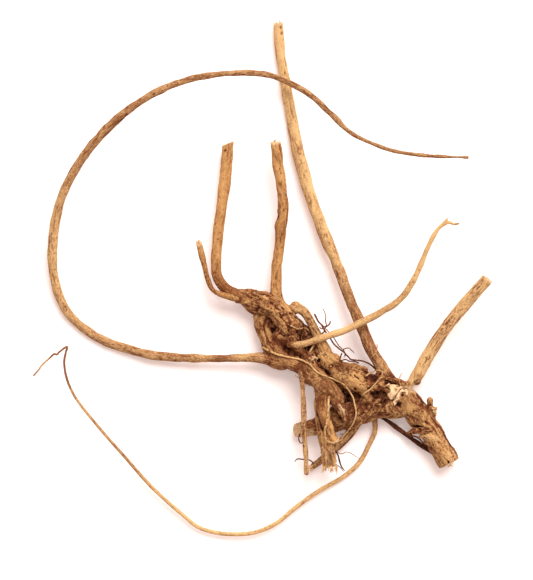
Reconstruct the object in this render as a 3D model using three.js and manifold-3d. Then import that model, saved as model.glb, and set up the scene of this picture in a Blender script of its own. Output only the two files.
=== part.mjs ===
// A dried devil's shoestring root: a knotted woody crown with a sawn stump, and the long
// string-like roots that grow from it. It lies on a surface.
// Millimetres, +Z up. The origin is on the flat spot under the neck of the crown, which the root rests on.
import * as THREE from "three";
import { mergeVertices } from "three/addons/utils/BufferGeometryUtils.js";
import Module from "manifold-3d";

const wasm = await Module();
wasm.setup();

// Driving dimensions. A route is a list of [x, y, z, radius] along the middle of a root or limb.
const FLOOR_SLAB = { width: 500, depth: 500, height: 30 };
// The uneven swell of the wood: how far it pushes the bark out and in, never past a share of the radius.
const CROWN_SWELL = 0.55;
const SLIM_LIMB_SWELL = 0.3;
const STUB_SWELL = 0.22;
const ROOT_SWELL = 0.13;
const LARGEST_SWELL_SHARE = 1 / 3;
const SWELL_WAVES = 14;
const SHORTEST_WAVE = 5;
const LONGEST_WAVE = 15;
const SEED = 11;
// About how long a face is, along a limb or over a burl, and the sides of a splinter.
const CROWN_STEP = 2.4;
const ROOT_STEP = 5;
const SHORT_ROOT_STEP = 4;
const THICK_ROOT_STEP = 3.5;
const BRIDGE_STEP = 3;
const TRIM_STEP = 2;
const HOLLOW_STEP = 4.8;
const BURL_FACE = 2.2;
const SPLINTER_SIDES = 5;

// The thick limbs of the crown.
const STUMP = [
  [27.8, -25.6, 5.4, 4.7],
  [24.4, -19.2, 5.2, 4.5],
  [19.6, -11.2, 4.9, 4.3],
  [14.4, -4, 4.8, 4.8],
  [9.2, -0.4, 5, 5.7],
  [2.4, -1.2, 5.2, 5.9],
  [-4.8, -2.8, 5.6, 5.7],
  [-11.6, -5.6, 6.2, 5.6],
  [-17.4, -7.4, 6.3, 5.3],
  [-22, -9, 6.1, 4.4],
  [-26, -10.4, 5.8, 3.5],
  [-30, -11.8, 5.6, 3],
  [-33.6, -12.4, 5.4, 3.1],
];
const KNOTTY_BRANCH = [
  [8, 2, 6.4, 4.4],
  [-0.8, 5, 8, 4.4],
  [-8, 7.2, 9, 4.7],
  [-14, 10.4, 9.2, 4.5],
  [-19.6, 14.4, 8.8, 4.2],
  [-22.6, 19, 8, 3.4],
  [-24.6, 24.4, 7.4, 1.9],
];
const V_TRUNK = [
  [-39.6, 16, 7.6, 2.8],
  [-32.4, 13.8, 8.8, 3.5],
  [-26.6, 9.8, 10.4, 4],
  [-21.4, 5, 11.8, 3.9],
  [-17.6, 0.6, 12.8, 3],
  [-15, -4, 13.2, 1.7],
  [-13.6, -8.4, 13.2, 0.6],
];
const RIM = [
  [-2, 9.6, 8, 2.2],
  [5, 8, 8.6, 1.7],
  [11, 5.8, 8.4, 1.6],
];
const FRAYED_STUB = [
  [-24, 7, 11.4, 2.8],
  [-23.4, 0, 13, 3.1],
  [-23.2, -8, 13.2, 3],
  [-21.8, -16, 12.6, 3],
  [-20.6, -22, 11.8, 3.1],
  [-20.2, -26.6, 11.2, 3.3],
];
const STUB_HOLLOW = [
  [-21.6, -17, 12.6, 0.8],
  [-20.6, -22, 11.8, 1.9],
  [-20, -29, 11, 2.4],
];
const HEAD = [
  [-57.2, 41.8, 6.4, 2.9],
  [-50, 39.8, 6.8, 4.7],
  [-43.4, 37, 7, 4.9],
  [-38, 32, 7.2, 4.6],
  [-33.8, 26.4, 7.2, 4.2],
  [-30.6, 20.8, 7.6, 3.8],
  [-28, 15, 8.4, 3.4],
];
const HEAD_ARM = [
  [-46, 36, 6.4, 3.8],
  [-46, 28, 6.2, 3.5],
  [-43.4, 21.6, 6.4, 3.4],
  [-38.6, 16.4, 7.4, 3.2],
];

// Burls and lumps: centre, then half sizes along x, y and z, then the turn about z in degrees.
const BURLS = [
  { centre: [1.8, -0.2, 6.4], half: [11.6, 7.4, 5.2], turn: -4 },
  { centre: [-10, 9, 10], half: [7, 5, 4.4], turn: -28 },
  { centre: [-19.2, 14.8, 9.6], half: [4.6, 4.4, 4.2], turn: 20 },
  { centre: [-38, 25.6, 6.6], half: [6.4, 5.8, 4], turn: 10 },
  { centre: [-42.6, 36, 8.4], half: [3.8, 3.6, 3.4], turn: 40 },
  { centre: [-28.4, 14, 8.8], half: [5.6, 4, 4], turn: -40 },
  { centre: [15.4, -8.6, 5], half: [5, 3.6, 4.2], turn: -52 },
  { centre: [-7.6, 11.2, 10.6], half: [2.9, 2.5, 2.3], turn: 0 },
];

// The roots, from the end sunk in the crown to the tip.
const ARC_ROOT = [
  [-36, 14.2, 6.8, 3],
  [-41, 15.4, 6.6, 2.9],
  [-46.6, 16.8, 6.2, 2.2],
  [-55, 16.9, 5.4, 1.6],
  [-66.4, 16.5, 4.6, 1.5],
  [-78, 16.8, 3.8, 1.65],
  [-90, 17.7, 3, 1.8],
  [-104, 21.2, 1.9, 1.8],
  [-112, 24.2, 1.5, 1.8],
  [-118.6, 28.6, 1.5, 1.75],
  [-124.4, 34, 1.9, 1.7],
  [-128.6, 41.6, 2.9, 1.75],
  [-130.8, 52, 4.6, 1.85],
  [-130.8, 64, 6.8, 1.9],
  [-127.4, 80, 9.6, 1.85],
  [-119, 96, 11.8, 1.8],
  [-107, 110, 13, 1.7],
  [-92, 121.2, 13.2, 1.5],
  [-76, 127.8, 12.4, 1.35],
  [-58, 130.4, 10.8, 1.2],
  [-44, 129.6, 9.2, 1.15],
  [-30, 123.2, 8.2, 1.15],
  [-19, 113.8, 8.4, 1.1],
  [-13.2, 107.8, 9, 0.95],
  [-5, 103.2, 9.8, 0.85],
  [6, 99.2, 11, 0.75],
  [19, 97.4, 12.8, 0.7],
  [34.4, 96.6, 15.2, 0.55],
];
const STRAIGHT_ROOT = [
  [7, 1.6, 5.6, 3.4],
  [4.4, 6.6, 6.4, 3],
  [1.4, 11.6, 7, 2.5],
  [-3.4, 20, 7.2, 2.35],
  [-8.6, 32, 7, 2.25],
  [-12.6, 41.6, 6.4, 2.15],
  [-17, 53.6, 5.6, 2.15],
  [-21.4, 64.4, 4.9, 2.55],
  [-24.4, 71.8, 4.3, 2.3],
  [-28, 82.4, 3.7, 2.4],
  [-32.4, 98, 2.8, 2.45],
  [-35.2, 112, 2.1, 2.2],
  [-37.6, 126, 1.9, 2.1],
  [-40, 140, 2.5, 2],
  [-40.8, 150.8, 3.6, 1.9],
];
const SHOESTRING = [
  [-2.6, -2.6, 4, 1.6],
  [-2, -8.4, 3, 1.1],
  [-1.9, -12.4, 2.6, 1],
  [-3.8, -17.2, 2.3, 0.95],
  [-8, -25, 2, 0.95],
  [-14.4, -30.8, 2, 0.9],
  [-24, -36.4, 2.4, 0.9],
  [-33.2, -42.8, 2.8, 0.9],
  [-41.6, -49.6, 3, 0.88],
  [-50, -53.2, 2.8, 0.86],
  [-58, -54, 2.5, 0.84],
  [-66, -53.3, 2.3, 0.82],
  [-73, -51, 2.3, 0.8],
  [-79, -46.2, 2.5, 0.78],
  [-90.8, -35.6, 3.2, 0.74],
  [-102.4, -22.6, 4, 0.68],
  [-113, -10.4, 5, 0.62],
  [-121.8, 1, 6.2, 0.54],
  [-125.2, 8.6, 7, 0.48],
  [-126.2, 15.2, 7.6, 0.44],
  [-125.6, 19.4, 8, 0.42],
  [-125.4, 21, 8.2, 0.42],
  [-126.6, 20.4, 8.3, 0.42],
  [-129, 18.6, 8.5, 0.4],
  [-132, 16.8, 8.8, 0.38],
  [-138.2, 10, 9.6, 0.36],
];
const UPPER_RIGHT_ROOT = [
  [14.5, 7.4, 7.8, 2.2],
  [16.2, 11.4, 8.3, 2.6],
  [18, 15.6, 8.8, 2.6],
  [20.4, 20, 9.4, 2.5],
  [26, 28.8, 10.4, 2.35],
  [33, 37.6, 11.6, 2.45],
  [42.4, 48.4, 13, 2.35],
];
const UPPER_RIGHT_STRIP = [
  [9.4, 1.2, 5.4, 2.4],
  [11.4, 5.2, 7, 1.6],
  [13.2, 9, 7.9, 1.6],
  [16, 13.4, 8.6, 1.8],
];
const CURLY_ROOT = [
  [-37.4, 22.4, 9.6, 1.2],
  [-33, 22.2, 11, 1.4],
  [-28.4, 23.2, 11.6, 1.4],
  [-22, 25.4, 11.8, 1.4],
  [-15, 27.6, 12.2, 1.4],
  [-8, 31, 12.8, 1.42],
  [-1, 34.6, 13.4, 1.4],
  [4.6, 37.8, 14.2, 1.4],
  [9.2, 42, 15.2, 1.38],
  [12.6, 47.4, 16.4, 1.3],
  [15.4, 53.4, 17.8, 1.2],
  [17.8, 59.2, 19, 1.05],
  [20.2, 64.6, 20.2, 0.95],
  [23, 68.8, 21.2, 0.85],
  [25.6, 70.6, 21.8, 0.75],
];
const CURLY_FORKS = [
  [
    [24.6, 70, 21.6, 0.7],
    [26.4, 71.4, 22.2, 0.55],
    [27.4, 72.6, 22.8, 0.36],
  ],
  [
    [24.6, 70, 21.6, 0.65],
    [28, 71.2, 21.4, 0.5],
    [31.4, 70.6, 21, 0.36],
  ],
];
const UPRIGHT_ROOT = [
  [-50, 39.6, 6.6, 3],
  [-57, 41.8, 7, 2.5],
  [-61.8, 44.6, 7, 2.15],
  [-64.8, 49, 6.8, 2.1],
  [-65.6, 55, 6.4, 2.1],
  [-65.2, 62, 6, 2.1],
  [-63.6, 76, 5.2, 2.15],
  [-62, 88, 4.8, 2.25],
  [-60.8, 102.6, 5, 2.3],
];
const BROKEN_TWIG = [
  [-56, 40.6, 8, 1.6],
  [-62.8, 42, 9, 1.2],
  [-66.8, 44, 9.8, 1.1],
  [-69, 49, 10.8, 1.05],
  [-70.4, 54.6, 11.6, 1.1],
  [-72.4, 63, 12.4, 1.25],
];
const KNOBBY_ROOT = [
  [-41, 37, 6.8, 3],
  [-41.6, 44, 7, 2.3],
  [-41.4, 52, 7, 2.05],
  [-40.4, 60, 7, 1.9],
  [-39.6, 67.6, 7, 2.2],
  [-38.6, 76.8, 7.2, 2.05],
  [-39.6, 87, 8, 2.1],
  [-41, 96, 9.2, 2.2],
  [-41.8, 103, 10.4, 2.25],
];
const BRIDGE_ROOT = [
  [-36, 37.8, 7.2, 2.6],
  [-30.8, 35.4, 7.2, 1.9],
  [-27.4, 30.6, 7, 1.75],
  [-24.8, 25, 7.2, 1.85],
  [-22.6, 19.6, 7.8, 2.6],
];
const HANGING_ROOT = [
  [-33.6, 17.4, 8.6, 1.9],
  [-31.6, 11.6, 11.4, 1.4],
  [-31, 5.2, 12.6, 1.1],
  [-30.7, -4, 12.8, 1.02],
  [-30.4, -12, 12.4, 1],
  [-29.9, -20, 11, 1],
  [-29.4, -29, 9.4, 0.95],
];
const UNDER_BRANCH = [
  [-5, -2.4, 4.6, 2.4],
  [-8.8, -8.4, 3.9, 2.1],
  [-12.2, -13.6, 3.4, 1.85],
  [-17, -18.6, 3, 1.65],
  [-22.8, -23.6, 2.8, 1.45],
  [-28, -27.8, 3, 1.1],
];
const DARK_STRING = [
  [-3.6, -4.4, 3.4, 1.1],
  [2, -7.6, 2.6, 0.9],
  [8, -11.8, 2.3, 0.95],
  [13.4, -15.8, 2.3, 1.1],
  [17.6, -18.6, 2.7, 1],
  [21.4, -20.8, 3.8, 0.9],
];

// Small things on the crown.
const NUB = [
  [20, -5.4, 6.4, 1.5],
  [20, -2, 7.6, 1.4],
  [19.8, 0.2, 8.2, 1.2],
];
const BARK_FLAKE = [
  [21, -11.4, 6.8, 2],
  [16.6, -12, 7.8, 1.5],
  [12.8, -13, 7.8, 0.95],
  [10.8, -13.6, 7.4, 0.45],
];
const SIDE_SPUR = [
  [24.4, -17.6, 6.4, 2.8],
  [20.8, -16.2, 7.4, 2.1],
  [17.8, -15, 7.4, 1.1],
  [15.8, -14.6, 7, 0.45],
];
const TORN_WOOD = [
  { from: [10.6, 4.8, 8.8], to: [1.6, 7.4, 11.6], radius: 1.3 },
  { from: [10, 3.6, 9], to: [3.4, 3.2, 12.8], radius: 1.4 },
  { from: [9.6, 2, 9.2], to: [4.8, -2, 12.4], radius: 1.2 },
  { from: [12, 4, 8.4], to: [8.6, 6.6, 11.4], radius: 1.2 },
  { from: [13, 4.8, 7.6], to: [15, 5.2, 10.4], radius: 1 },
];
const FRAYED_TEETH = [
  { from: [-22.6, -23.6, 12.4], to: [-23, -28.6, 12.6], radius: 0.8 },
  { from: [-20.4, -23.6, 14.2], to: [-20.2, -28.4, 13.8], radius: 0.9 },
  { from: [-18, -23.4, 12.4], to: [-17.6, -27.8, 12], radius: 0.8 },
  { from: [-20.6, -23.6, 9.6], to: [-20.8, -28.2, 8.6], radius: 0.9 },
];

// How each limb, root and small thing is made round: its route, sides, step and swell.
const LIMBS = [
  { route: STUMP, sides: 16, step: CROWN_STEP, swell: CROWN_SWELL },
  { route: KNOTTY_BRANCH, sides: 14, step: CROWN_STEP, swell: CROWN_SWELL },
  { route: V_TRUNK, sides: 12, step: CROWN_STEP, swell: SLIM_LIMB_SWELL },
  { route: HEAD, sides: 14, step: CROWN_STEP, swell: CROWN_SWELL },
  { route: HEAD_ARM, sides: 12, step: CROWN_STEP, swell: CROWN_SWELL },
  { route: RIM, sides: 10, step: CROWN_STEP, swell: SLIM_LIMB_SWELL },
];
const STUB = { route: FRAYED_STUB, sides: 12, step: CROWN_STEP, swell: STUB_SWELL };
const HOLLOW = { route: STUB_HOLLOW, sides: 10, step: HOLLOW_STEP, swell: 0 };
const ROOTS = [
  { route: ARC_ROOT, sides: 8, step: ROOT_STEP, swell: ROOT_SWELL },
  { route: STRAIGHT_ROOT, sides: 10, step: ROOT_STEP, swell: ROOT_SWELL },
  { route: SHOESTRING, sides: 6, step: ROOT_STEP, swell: 0 },
  { route: UPPER_RIGHT_ROOT, sides: 12, step: THICK_ROOT_STEP, swell: ROOT_SWELL },
  { route: UPPER_RIGHT_STRIP, sides: 8, step: THICK_ROOT_STEP, swell: ROOT_SWELL },
  { route: CURLY_ROOT, sides: 8, step: SHORT_ROOT_STEP, swell: ROOT_SWELL },
  ...CURLY_FORKS.map((route) => ({ route, sides: 6, step: TRIM_STEP, swell: 0 })),
  { route: UPRIGHT_ROOT, sides: 10, step: SHORT_ROOT_STEP, swell: ROOT_SWELL },
  { route: BROKEN_TWIG, sides: 7, step: SHORT_ROOT_STEP, swell: ROOT_SWELL },
  { route: KNOBBY_ROOT, sides: 10, step: SHORT_ROOT_STEP, swell: ROOT_SWELL },
  { route: BRIDGE_ROOT, sides: 9, step: BRIDGE_STEP, swell: ROOT_SWELL },
  { route: HANGING_ROOT, sides: 7, step: ROOT_STEP, swell: ROOT_SWELL },
  { route: UNDER_BRANCH, sides: 9, step: SHORT_ROOT_STEP, swell: ROOT_SWELL },
  { route: DARK_STRING, sides: 7, step: SHORT_ROOT_STEP, swell: ROOT_SWELL },
];
const SMALL_THINGS = [
  { route: NUB, sides: 8, step: TRIM_STEP, swell: 0 },
  { route: BARK_FLAKE, sides: 6, step: TRIM_STEP, swell: 0 },
  { route: SIDE_SPUR, sides: 8, step: TRIM_STEP, swell: 0 },
];

// The swell of the wood: a few seeded waves that run through space, so joined pieces swell together.
const waves = [];
THREE.MathUtils.seededRandom(SEED);
for (let i = 0; i < SWELL_WAVES; i++) {
  const length = THREE.MathUtils.lerp(SHORTEST_WAVE, LONGEST_WAVE, THREE.MathUtils.seededRandom());
  const direction = new THREE.Vector3(
    THREE.MathUtils.seededRandom() - 0.5,
    THREE.MathUtils.seededRandom() - 0.5,
    THREE.MathUtils.seededRandom() - 0.5,
  ).setLength((2 * Math.PI) / length);
  waves.push({ direction, phase: 2 * Math.PI * THREE.MathUtils.seededRandom() });
}

function swellAt(point) {
  const sum = waves.reduce((total, wave) => total + Math.sin(wave.direction.dot(point) + wave.phase), 0);
  return sum / Math.sqrt(waves.length);
}

// The radius at t along a route, eased between the radii of its points.
function radiusAt(route, t) {
  const place = t * (route.length - 1);
  const before = Math.min(Math.floor(place), route.length - 2);
  const ease = THREE.MathUtils.smoothstep(place - before, 0, 1);
  return THREE.MathUtils.lerp(route[before][3], route[before + 1][3], ease);
}

// A closed bar with flat ends that follows a route: a cylinder of unit size, bent ring by ring.
function bentBar({ route, sides, step, swell }) {
  const middle = route.map(([x, y, z]) => new THREE.Vector3(x, y, z));
  const curve = new THREE.CatmullRomCurve3(middle, false, "centripetal");
  const steps = Math.max(2, Math.round(curve.getLength() / step));
  const frames = curve.computeFrenetFrames(steps, false);
  const bar = new THREE.CylinderGeometry(1, 1, 1, sides, steps);
  const corners = bar.attributes.position;
  for (let i = 0; i < corners.count; i++) {
    const ring = Math.round((corners.getY(i) + 0.5) * steps);
    const along = ring / steps;
    const across = new THREE.Vector3()
      .addScaledVector(frames.normals[ring], corners.getX(i))
      .addScaledVector(frames.binormals[ring], -corners.getZ(i));
    const point = curve.getPointAt(along);
    const radius = radiusAt(route, curve.getUtoTmapping(along));
    const outer = point.clone().addScaledVector(across, radius);
    const push = Math.min(swell, radius * LARGEST_SWELL_SHARE) * swellAt(outer);
    outer.addScaledVector(across, push);
    corners.setXYZ(i, outer.x, outer.y, outer.z);
  }
  return bar;
}

// A burl: a round lump, longer one way than the other, with the swell of the wood.
function burl({ centre, half, turn }) {
  const size = (half[0] + half[1] + half[2]) / 3;
  const lump = new THREE.IcosahedronGeometry(1, Math.floor(size / BURL_FACE));
  lump.scale(...half);
  lump.rotateZ(THREE.MathUtils.degToRad(turn));
  lump.translate(...centre);
  const middle = new THREE.Vector3(...centre);
  const corners = lump.attributes.position;
  for (let i = 0; i < corners.count; i++) {
    const point = new THREE.Vector3().fromBufferAttribute(corners, i);
    const outward = point.clone().sub(middle).normalize();
    point.addScaledVector(outward, CROWN_SWELL * swellAt(point));
    corners.setXYZ(i, point.x, point.y, point.z);
  }
  return lump;
}

// A splinter: a long sharp cone from its foot in the wood to its tip.
function splinter({ from, to, radius }) {
  const foot = new THREE.Vector3(...from);
  const tip = new THREE.Vector3(...to);
  const axis = tip.clone().sub(foot);
  const cone = new THREE.ConeGeometry(radius, axis.length(), SPLINTER_SIDES);
  const up = new THREE.Vector3(0, 1, 0);
  const turn = new THREE.Quaternion().setFromUnitVectors(up, axis.normalize());
  cone.applyQuaternion(turn);
  cone.translate(...foot.lerp(tip, 0.5).toArray());
  return cone;
}

function solidOf(geometry) {
  geometry.deleteAttribute("normal");
  geometry.deleteAttribute("uv");
  const merged = mergeVertices(geometry);
  return new wasm.Manifold(
    new wasm.Mesh({
      numProp: 3,
      vertProperties: merged.attributes.position.array,
      triVerts: new Uint32Array(merged.index.array),
    }),
  );
}

function geometryOf(solid) {
  const mesh = solid.getMesh();
  const geometry = new THREE.BufferGeometry();
  geometry.setAttribute("position", new THREE.BufferAttribute(mesh.vertProperties, 3));
  geometry.setIndex(new THREE.BufferAttribute(mesh.triVerts, 1));
  geometry.computeVertexNormals();
  return geometry;
}

// The one body of a joined solid, without loose scraps and with sealed pockets filled.
function largestBody(solid) {
  return solid.decompose().reduce((best, body) => (body.volume() > best.volume() ? body : best));
}

function joined(geometries) {
  return geometries.map(solidOf).reduce((whole, next) => whole.add(next));
}

// The woody crown: its limbs and burls grown together, with the frayed stub hollow at its end.
function makeCrown() {
  const limbs = joined([...LIMBS.map(bentBar), ...BURLS.map(burl)]);
  const stub = solidOf(bentBar(STUB)).subtract(solidOf(bentBar(HOLLOW)));
  return limbs.add(stub).add(joined(FRAYED_TEETH.map(splinter)));
}

function makeTrim() {
  return joined([...SMALL_THINGS.map(bentBar), ...TORN_WOOD.map(splinter)]);
}

// The surface under the root flattens whatever would reach below it.
function makeFloor() {
  const slab = new THREE.BoxGeometry(FLOOR_SLAB.width, FLOOR_SLAB.depth, FLOOR_SLAB.height);
  slab.translate(0, 0, -FLOOR_SLAB.height / 2);
  return solidOf(slab);
}

const bark = new THREE.MeshStandardMaterial({ color: 0xb28457, roughness: 0.85, metalness: 0 });
const whole = largestBody(makeCrown().add(joined(ROOTS.map(bentBar))).add(makeTrim()).subtract(makeFloor()));
const rootCrown = new THREE.Mesh(geometryOf(whole), bark);
rootCrown.name = "root_crown";

const devilsShoestringRoot = new THREE.Group();
devilsShoestringRoot.add(rootCrown);

export default devilsShoestringRoot;
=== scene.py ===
# A dried root crown with its long string-like roots, lying on a pale surface.
# The routes and sizes below are in millimetres, and meshes are turned to metres when they are made.
import math
import bpy
import numpy as np
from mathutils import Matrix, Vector
from mathutils.bvhtree import BVHTree
from mathutils.geometry import delaunay_2d_cdt


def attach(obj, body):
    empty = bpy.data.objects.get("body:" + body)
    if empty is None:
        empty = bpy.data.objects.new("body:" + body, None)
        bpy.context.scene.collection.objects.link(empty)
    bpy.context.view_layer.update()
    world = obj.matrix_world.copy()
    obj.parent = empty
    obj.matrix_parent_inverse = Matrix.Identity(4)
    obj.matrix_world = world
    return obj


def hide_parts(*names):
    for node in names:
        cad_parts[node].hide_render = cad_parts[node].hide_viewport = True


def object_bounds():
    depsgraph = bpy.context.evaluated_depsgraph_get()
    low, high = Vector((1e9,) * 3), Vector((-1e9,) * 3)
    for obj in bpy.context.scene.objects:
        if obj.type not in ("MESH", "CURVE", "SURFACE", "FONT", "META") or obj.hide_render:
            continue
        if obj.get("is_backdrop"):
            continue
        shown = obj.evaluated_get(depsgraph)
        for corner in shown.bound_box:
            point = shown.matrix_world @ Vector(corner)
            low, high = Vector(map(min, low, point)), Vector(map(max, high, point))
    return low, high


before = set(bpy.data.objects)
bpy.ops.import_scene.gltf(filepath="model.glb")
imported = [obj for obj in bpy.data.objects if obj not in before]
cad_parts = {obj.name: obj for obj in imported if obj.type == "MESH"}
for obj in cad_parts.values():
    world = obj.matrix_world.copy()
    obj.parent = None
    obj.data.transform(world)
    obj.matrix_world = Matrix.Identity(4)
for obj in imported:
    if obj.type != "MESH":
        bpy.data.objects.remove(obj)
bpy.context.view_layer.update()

mm = 0.001
print("frame loaded:", sorted(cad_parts))

# Routes: [x, y, z, radius] along the middle of each limb and root, from the crown outwards.
stump = [
    [27.8, -25.6, 5.4, 4.7], [24.4, -19.2, 5.2, 4.5], [19.6, -11.2, 4.9, 4.3], [14.4, -4, 4.8, 4.8],
    [9.2, -0.4, 5, 5.7], [2.4, -1.2, 5.2, 5.9], [-4.8, -2.8, 5.6, 5.7], [-11.6, -5.6, 6.2, 5.6],
    [-17.4, -7.4, 6.3, 5.3], [-22, -9, 6.1, 4.4], [-26, -10.4, 5.8, 3.5], [-30, -11.8, 5.6, 3],
    [-33, -12.3, 5.4, 3.25], [-34.4, -12.5, 5.3, 2.7], [-35.2, -12.6, 5.2, 1.5],
]
knottyBranch = [
    [8, 2, 6.4, 4.4], [-0.8, 5, 8, 4.4], [-8.2, 7, 9, 4.8], [-14.2, 10.2, 9.2, 4.6],
    [-19.6, 14.4, 8.8, 4.2], [-22.6, 19, 8, 3.4], [-24.6, 24.4, 7.4, 1.9],
]
vTrunk = [
    [-39.6, 16, 7.6, 2.8], [-32.4, 13.8, 8.8, 3.5], [-26.6, 9.8, 10.4, 4], [-21.4, 5, 11.8, 3.8],
    [-18, 0.8, 12.8, 2.7], [-15.2, -4, 13.2, 1.5], [-13.8, -8.4, 13.2, 0.5],
]
rim = [[-2, 9.6, 8, 2.2], [5, 8, 8.6, 1.7], [11, 5.8, 8.4, 1.6]]
frayedStub = [
    [-24, 7, 10.8, 2.8], [-23.4, 0, 11.8, 2.8], [-23.2, -8, 12, 2.8], [-21.9, -16, 12, 2.9],
    [-20.8, -22, 11.6, 2.6], [-20.3, -26.6, 11.2, 2.45],
]
stubHollow = [
    [-21.4, -19.4, 14.6, 0.5], [-20.6, -22, 14.2, 1.1], [-20, -25, 13.6, 1.5], [-19.8, -29, 12.6, 1.8],
]
head = [
    [-57.2, 41.8, 6.4, 2.9], [-50, 39.8, 6.8, 4.7], [-43.4, 37, 7, 4.9], [-38, 32, 7.2, 4.6],
    [-33.8, 26.4, 7.2, 4.2], [-30.6, 20.8, 7.6, 3.8], [-28, 15, 8.4, 3.4],
]
headArm = [[-46, 36, 6.4, 3.8], [-46, 28, 6.2, 3.5], [-43.4, 21.6, 6.4, 3.4], [-38.6, 16.4, 7.4, 3.2]]
nub = [
    [20, -5.4, 6.4, 1.5], [19.9, -2, 7.6, 1.4], [19.8, 0, 8.2, 1.5], [19.8, 0.8, 8.3, 1.2],
    [19.8, 1.3, 8.3, 0.6],
]
barkFlake = [
    [21, -11.6, 7.2, 1.4], [18.6, -12.1, 8.1, 1.5], [15.9, -12.2, 8.2, 1.35], [13.4, -12.4, 8, 1.25],
    [11.7, -13.1, 7.6, 0.95], [10.9, -13.5, 7.3, 0.6],
]
sideSpur = [
    [24, -16, 7, 2.4], [21.6, -15.2, 8, 1.9], [19.4, -14.5, 8.1, 1.4], [17.4, -14.3, 7.7, 0.9],
    [15.8, -14.6, 7, 0.4],
]
arcRoute = [
    [-36, 14.2, 6.8, 3], [-41, 15.4, 6.6, 2.9], [-46.6, 16.8, 6.2, 2.2], [-55, 16.9, 5.4, 1.6],
    [-66.4, 16.5, 4.6, 1.5], [-78, 16.8, 3.8, 1.65], [-90, 17.7, 3, 1.8], [-104, 21.2, 1.9, 1.8],
    [-112, 24.2, 1.5, 1.8], [-118.6, 28.6, 1.5, 1.75], [-124.4, 34, 1.9, 1.7], [-128.6, 41.6, 2.9, 1.75],
    [-130.8, 52, 4.6, 1.85], [-130.8, 64, 6.8, 1.9], [-127.4, 80, 9.6, 1.85], [-119, 96, 11.8, 1.8],
    [-107, 110, 13, 1.7], [-92, 121.2, 13.2, 1.5], [-76, 127.8, 12.4, 1.35], [-58, 130.4, 10.8, 1.2],
    [-44, 129.6, 9.2, 1.15], [-30, 123.2, 8.2, 1.15], [-19, 113.8, 8.4, 1.1], [-13.2, 107.8, 9, 0.95],
    [-5, 103.2, 9.8, 0.85], [6, 99.2, 11, 0.75], [19, 97.4, 12.8, 0.7], [34.4, 96.6, 15.2, 0.55],
]
straightRoute = [
    [7, 1.6, 5.6, 3.4], [4.4, 6.6, 6.4, 3], [1.4, 11.6, 7, 2.5], [-3.4, 20, 7.2, 2.35],
    [-8.6, 32, 7, 2.25], [-12.6, 41.6, 6.4, 2.15], [-17, 53.6, 5.6, 2.15], [-21.4, 64.4, 4.9, 2.55],
    [-24.4, 71.8, 4.3, 2.3], [-28, 82.4, 3.7, 2.4], [-32.4, 98, 2.8, 2.45], [-35.2, 112, 2.1, 2.2],
    [-37.6, 126, 1.9, 2.1], [-40, 140, 2.5, 2], [-40.8, 150.8, 3.6, 1.9],
]
shoestringRoute = [
    [-2.6, -2.6, 4, 1.6], [-2, -8.4, 3, 1.1], [-1.9, -12.4, 2.6, 1], [-3.8, -17.2, 2.3, 0.95],
    [-8, -25, 2, 0.95], [-14.4, -30.8, 2, 0.9], [-24, -36.4, 2.4, 0.9], [-33.2, -42.8, 2.8, 0.9],
    [-41.6, -49.6, 3, 0.88], [-50, -53.2, 2.8, 0.86], [-58, -54, 2.5, 0.84], [-66, -53.3, 2.3, 0.82],
    [-73, -51, 2.3, 0.8], [-79, -46.2, 2.5, 0.78], [-90.8, -35.6, 3.2, 0.74], [-102.4, -22.6, 4, 0.68],
    [-113, -10.4, 5, 0.62], [-121.8, 1, 6.2, 0.55], [-125.2, 8.6, 7, 0.5], [-126.2, 15.2, 7.6, 0.47],
    [-125.5, 19.2, 8, 0.46], [-124.9, 21.4, 8.2, 0.46], [-126, 20.9, 8.3, 0.44], [-128.4, 19, 8.4, 0.42],
    [-129.1, 18.2, 8.5, 0.45], [-130, 18.5, 8.6, 0.42], [-131.7, 17.1, 8.8, 0.4], [-135, 14, 9.2, 0.38],
    [-136.4, 12, 9.4, 0.38], [-138.2, 10, 9.6, 0.36],
]
upperRightRoute = [
    [13.9, 7.2, 7.8, 1.6], [15.6, 11.4, 8.3, 2.5], [17.8, 15.6, 8.8, 2.6], [20.4, 20, 9.4, 2.5],
    [26, 28.8, 10.4, 2.35], [33, 37.6, 11.6, 2.45], [42.4, 48.4, 13, 2.35],
]
upperRightStrip = [[9.4, 1.2, 5.4, 2.4], [11.4, 5.2, 7, 1.6], [13.2, 9, 7.9, 1.6], [16, 13.4, 8.6, 1.8]]
curlyRoute = [
    [-37.4, 22.4, 9.6, 1.2], [-33, 22.2, 11, 1.4], [-28.4, 23.2, 11.6, 1.4], [-22, 25.4, 11.8, 1.4],
    [-15, 27.6, 12.2, 1.4], [-8, 31, 12.8, 1.42], [-1, 34.6, 13.4, 1.4], [4.6, 37.8, 14.2, 1.4],
    [9.2, 42, 15.2, 1.38], [12.6, 47.4, 16.4, 1.3], [15.4, 53.4, 17.8, 1.2], [17.8, 59.2, 19, 1.05],
    [20.2, 64.6, 20.2, 0.95], [23, 68.8, 21.2, 0.85], [25.6, 70.6, 21.8, 0.75],
]
curlyForks = [
    [[24.2, 69.7, 21.5, 0.85], [25.2, 70.9, 22, 0.72], [25.9, 72, 22.5, 0.5]],
    [[24.4, 69.8, 21.6, 0.8], [26.6, 70.7, 21.5, 0.62], [28.6, 70, 21.2, 0.5], [30.4, 70.2, 21, 0.36]],
]
uprightRoute = [
    [-50, 39.6, 6.6, 3], [-57, 41.8, 7, 2.5], [-61.8, 44.6, 7, 2.15], [-64.8, 49, 6.8, 2.1],
    [-65.6, 55, 6.4, 2.1], [-65.2, 62, 6, 2.1], [-63.6, 76, 5.2, 2.15], [-62, 88, 4.8, 2.25],
    [-60.8, 102.6, 5, 2.3],
]
twigRoute = [
    [-56, 40.6, 8, 1.6], [-62.8, 42, 9, 1.2], [-66.8, 44, 9.8, 1.1], [-69, 49, 10.8, 1.05],
    [-70.4, 54.6, 11.6, 1.1], [-72.4, 63, 12.4, 1.25],
]
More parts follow.
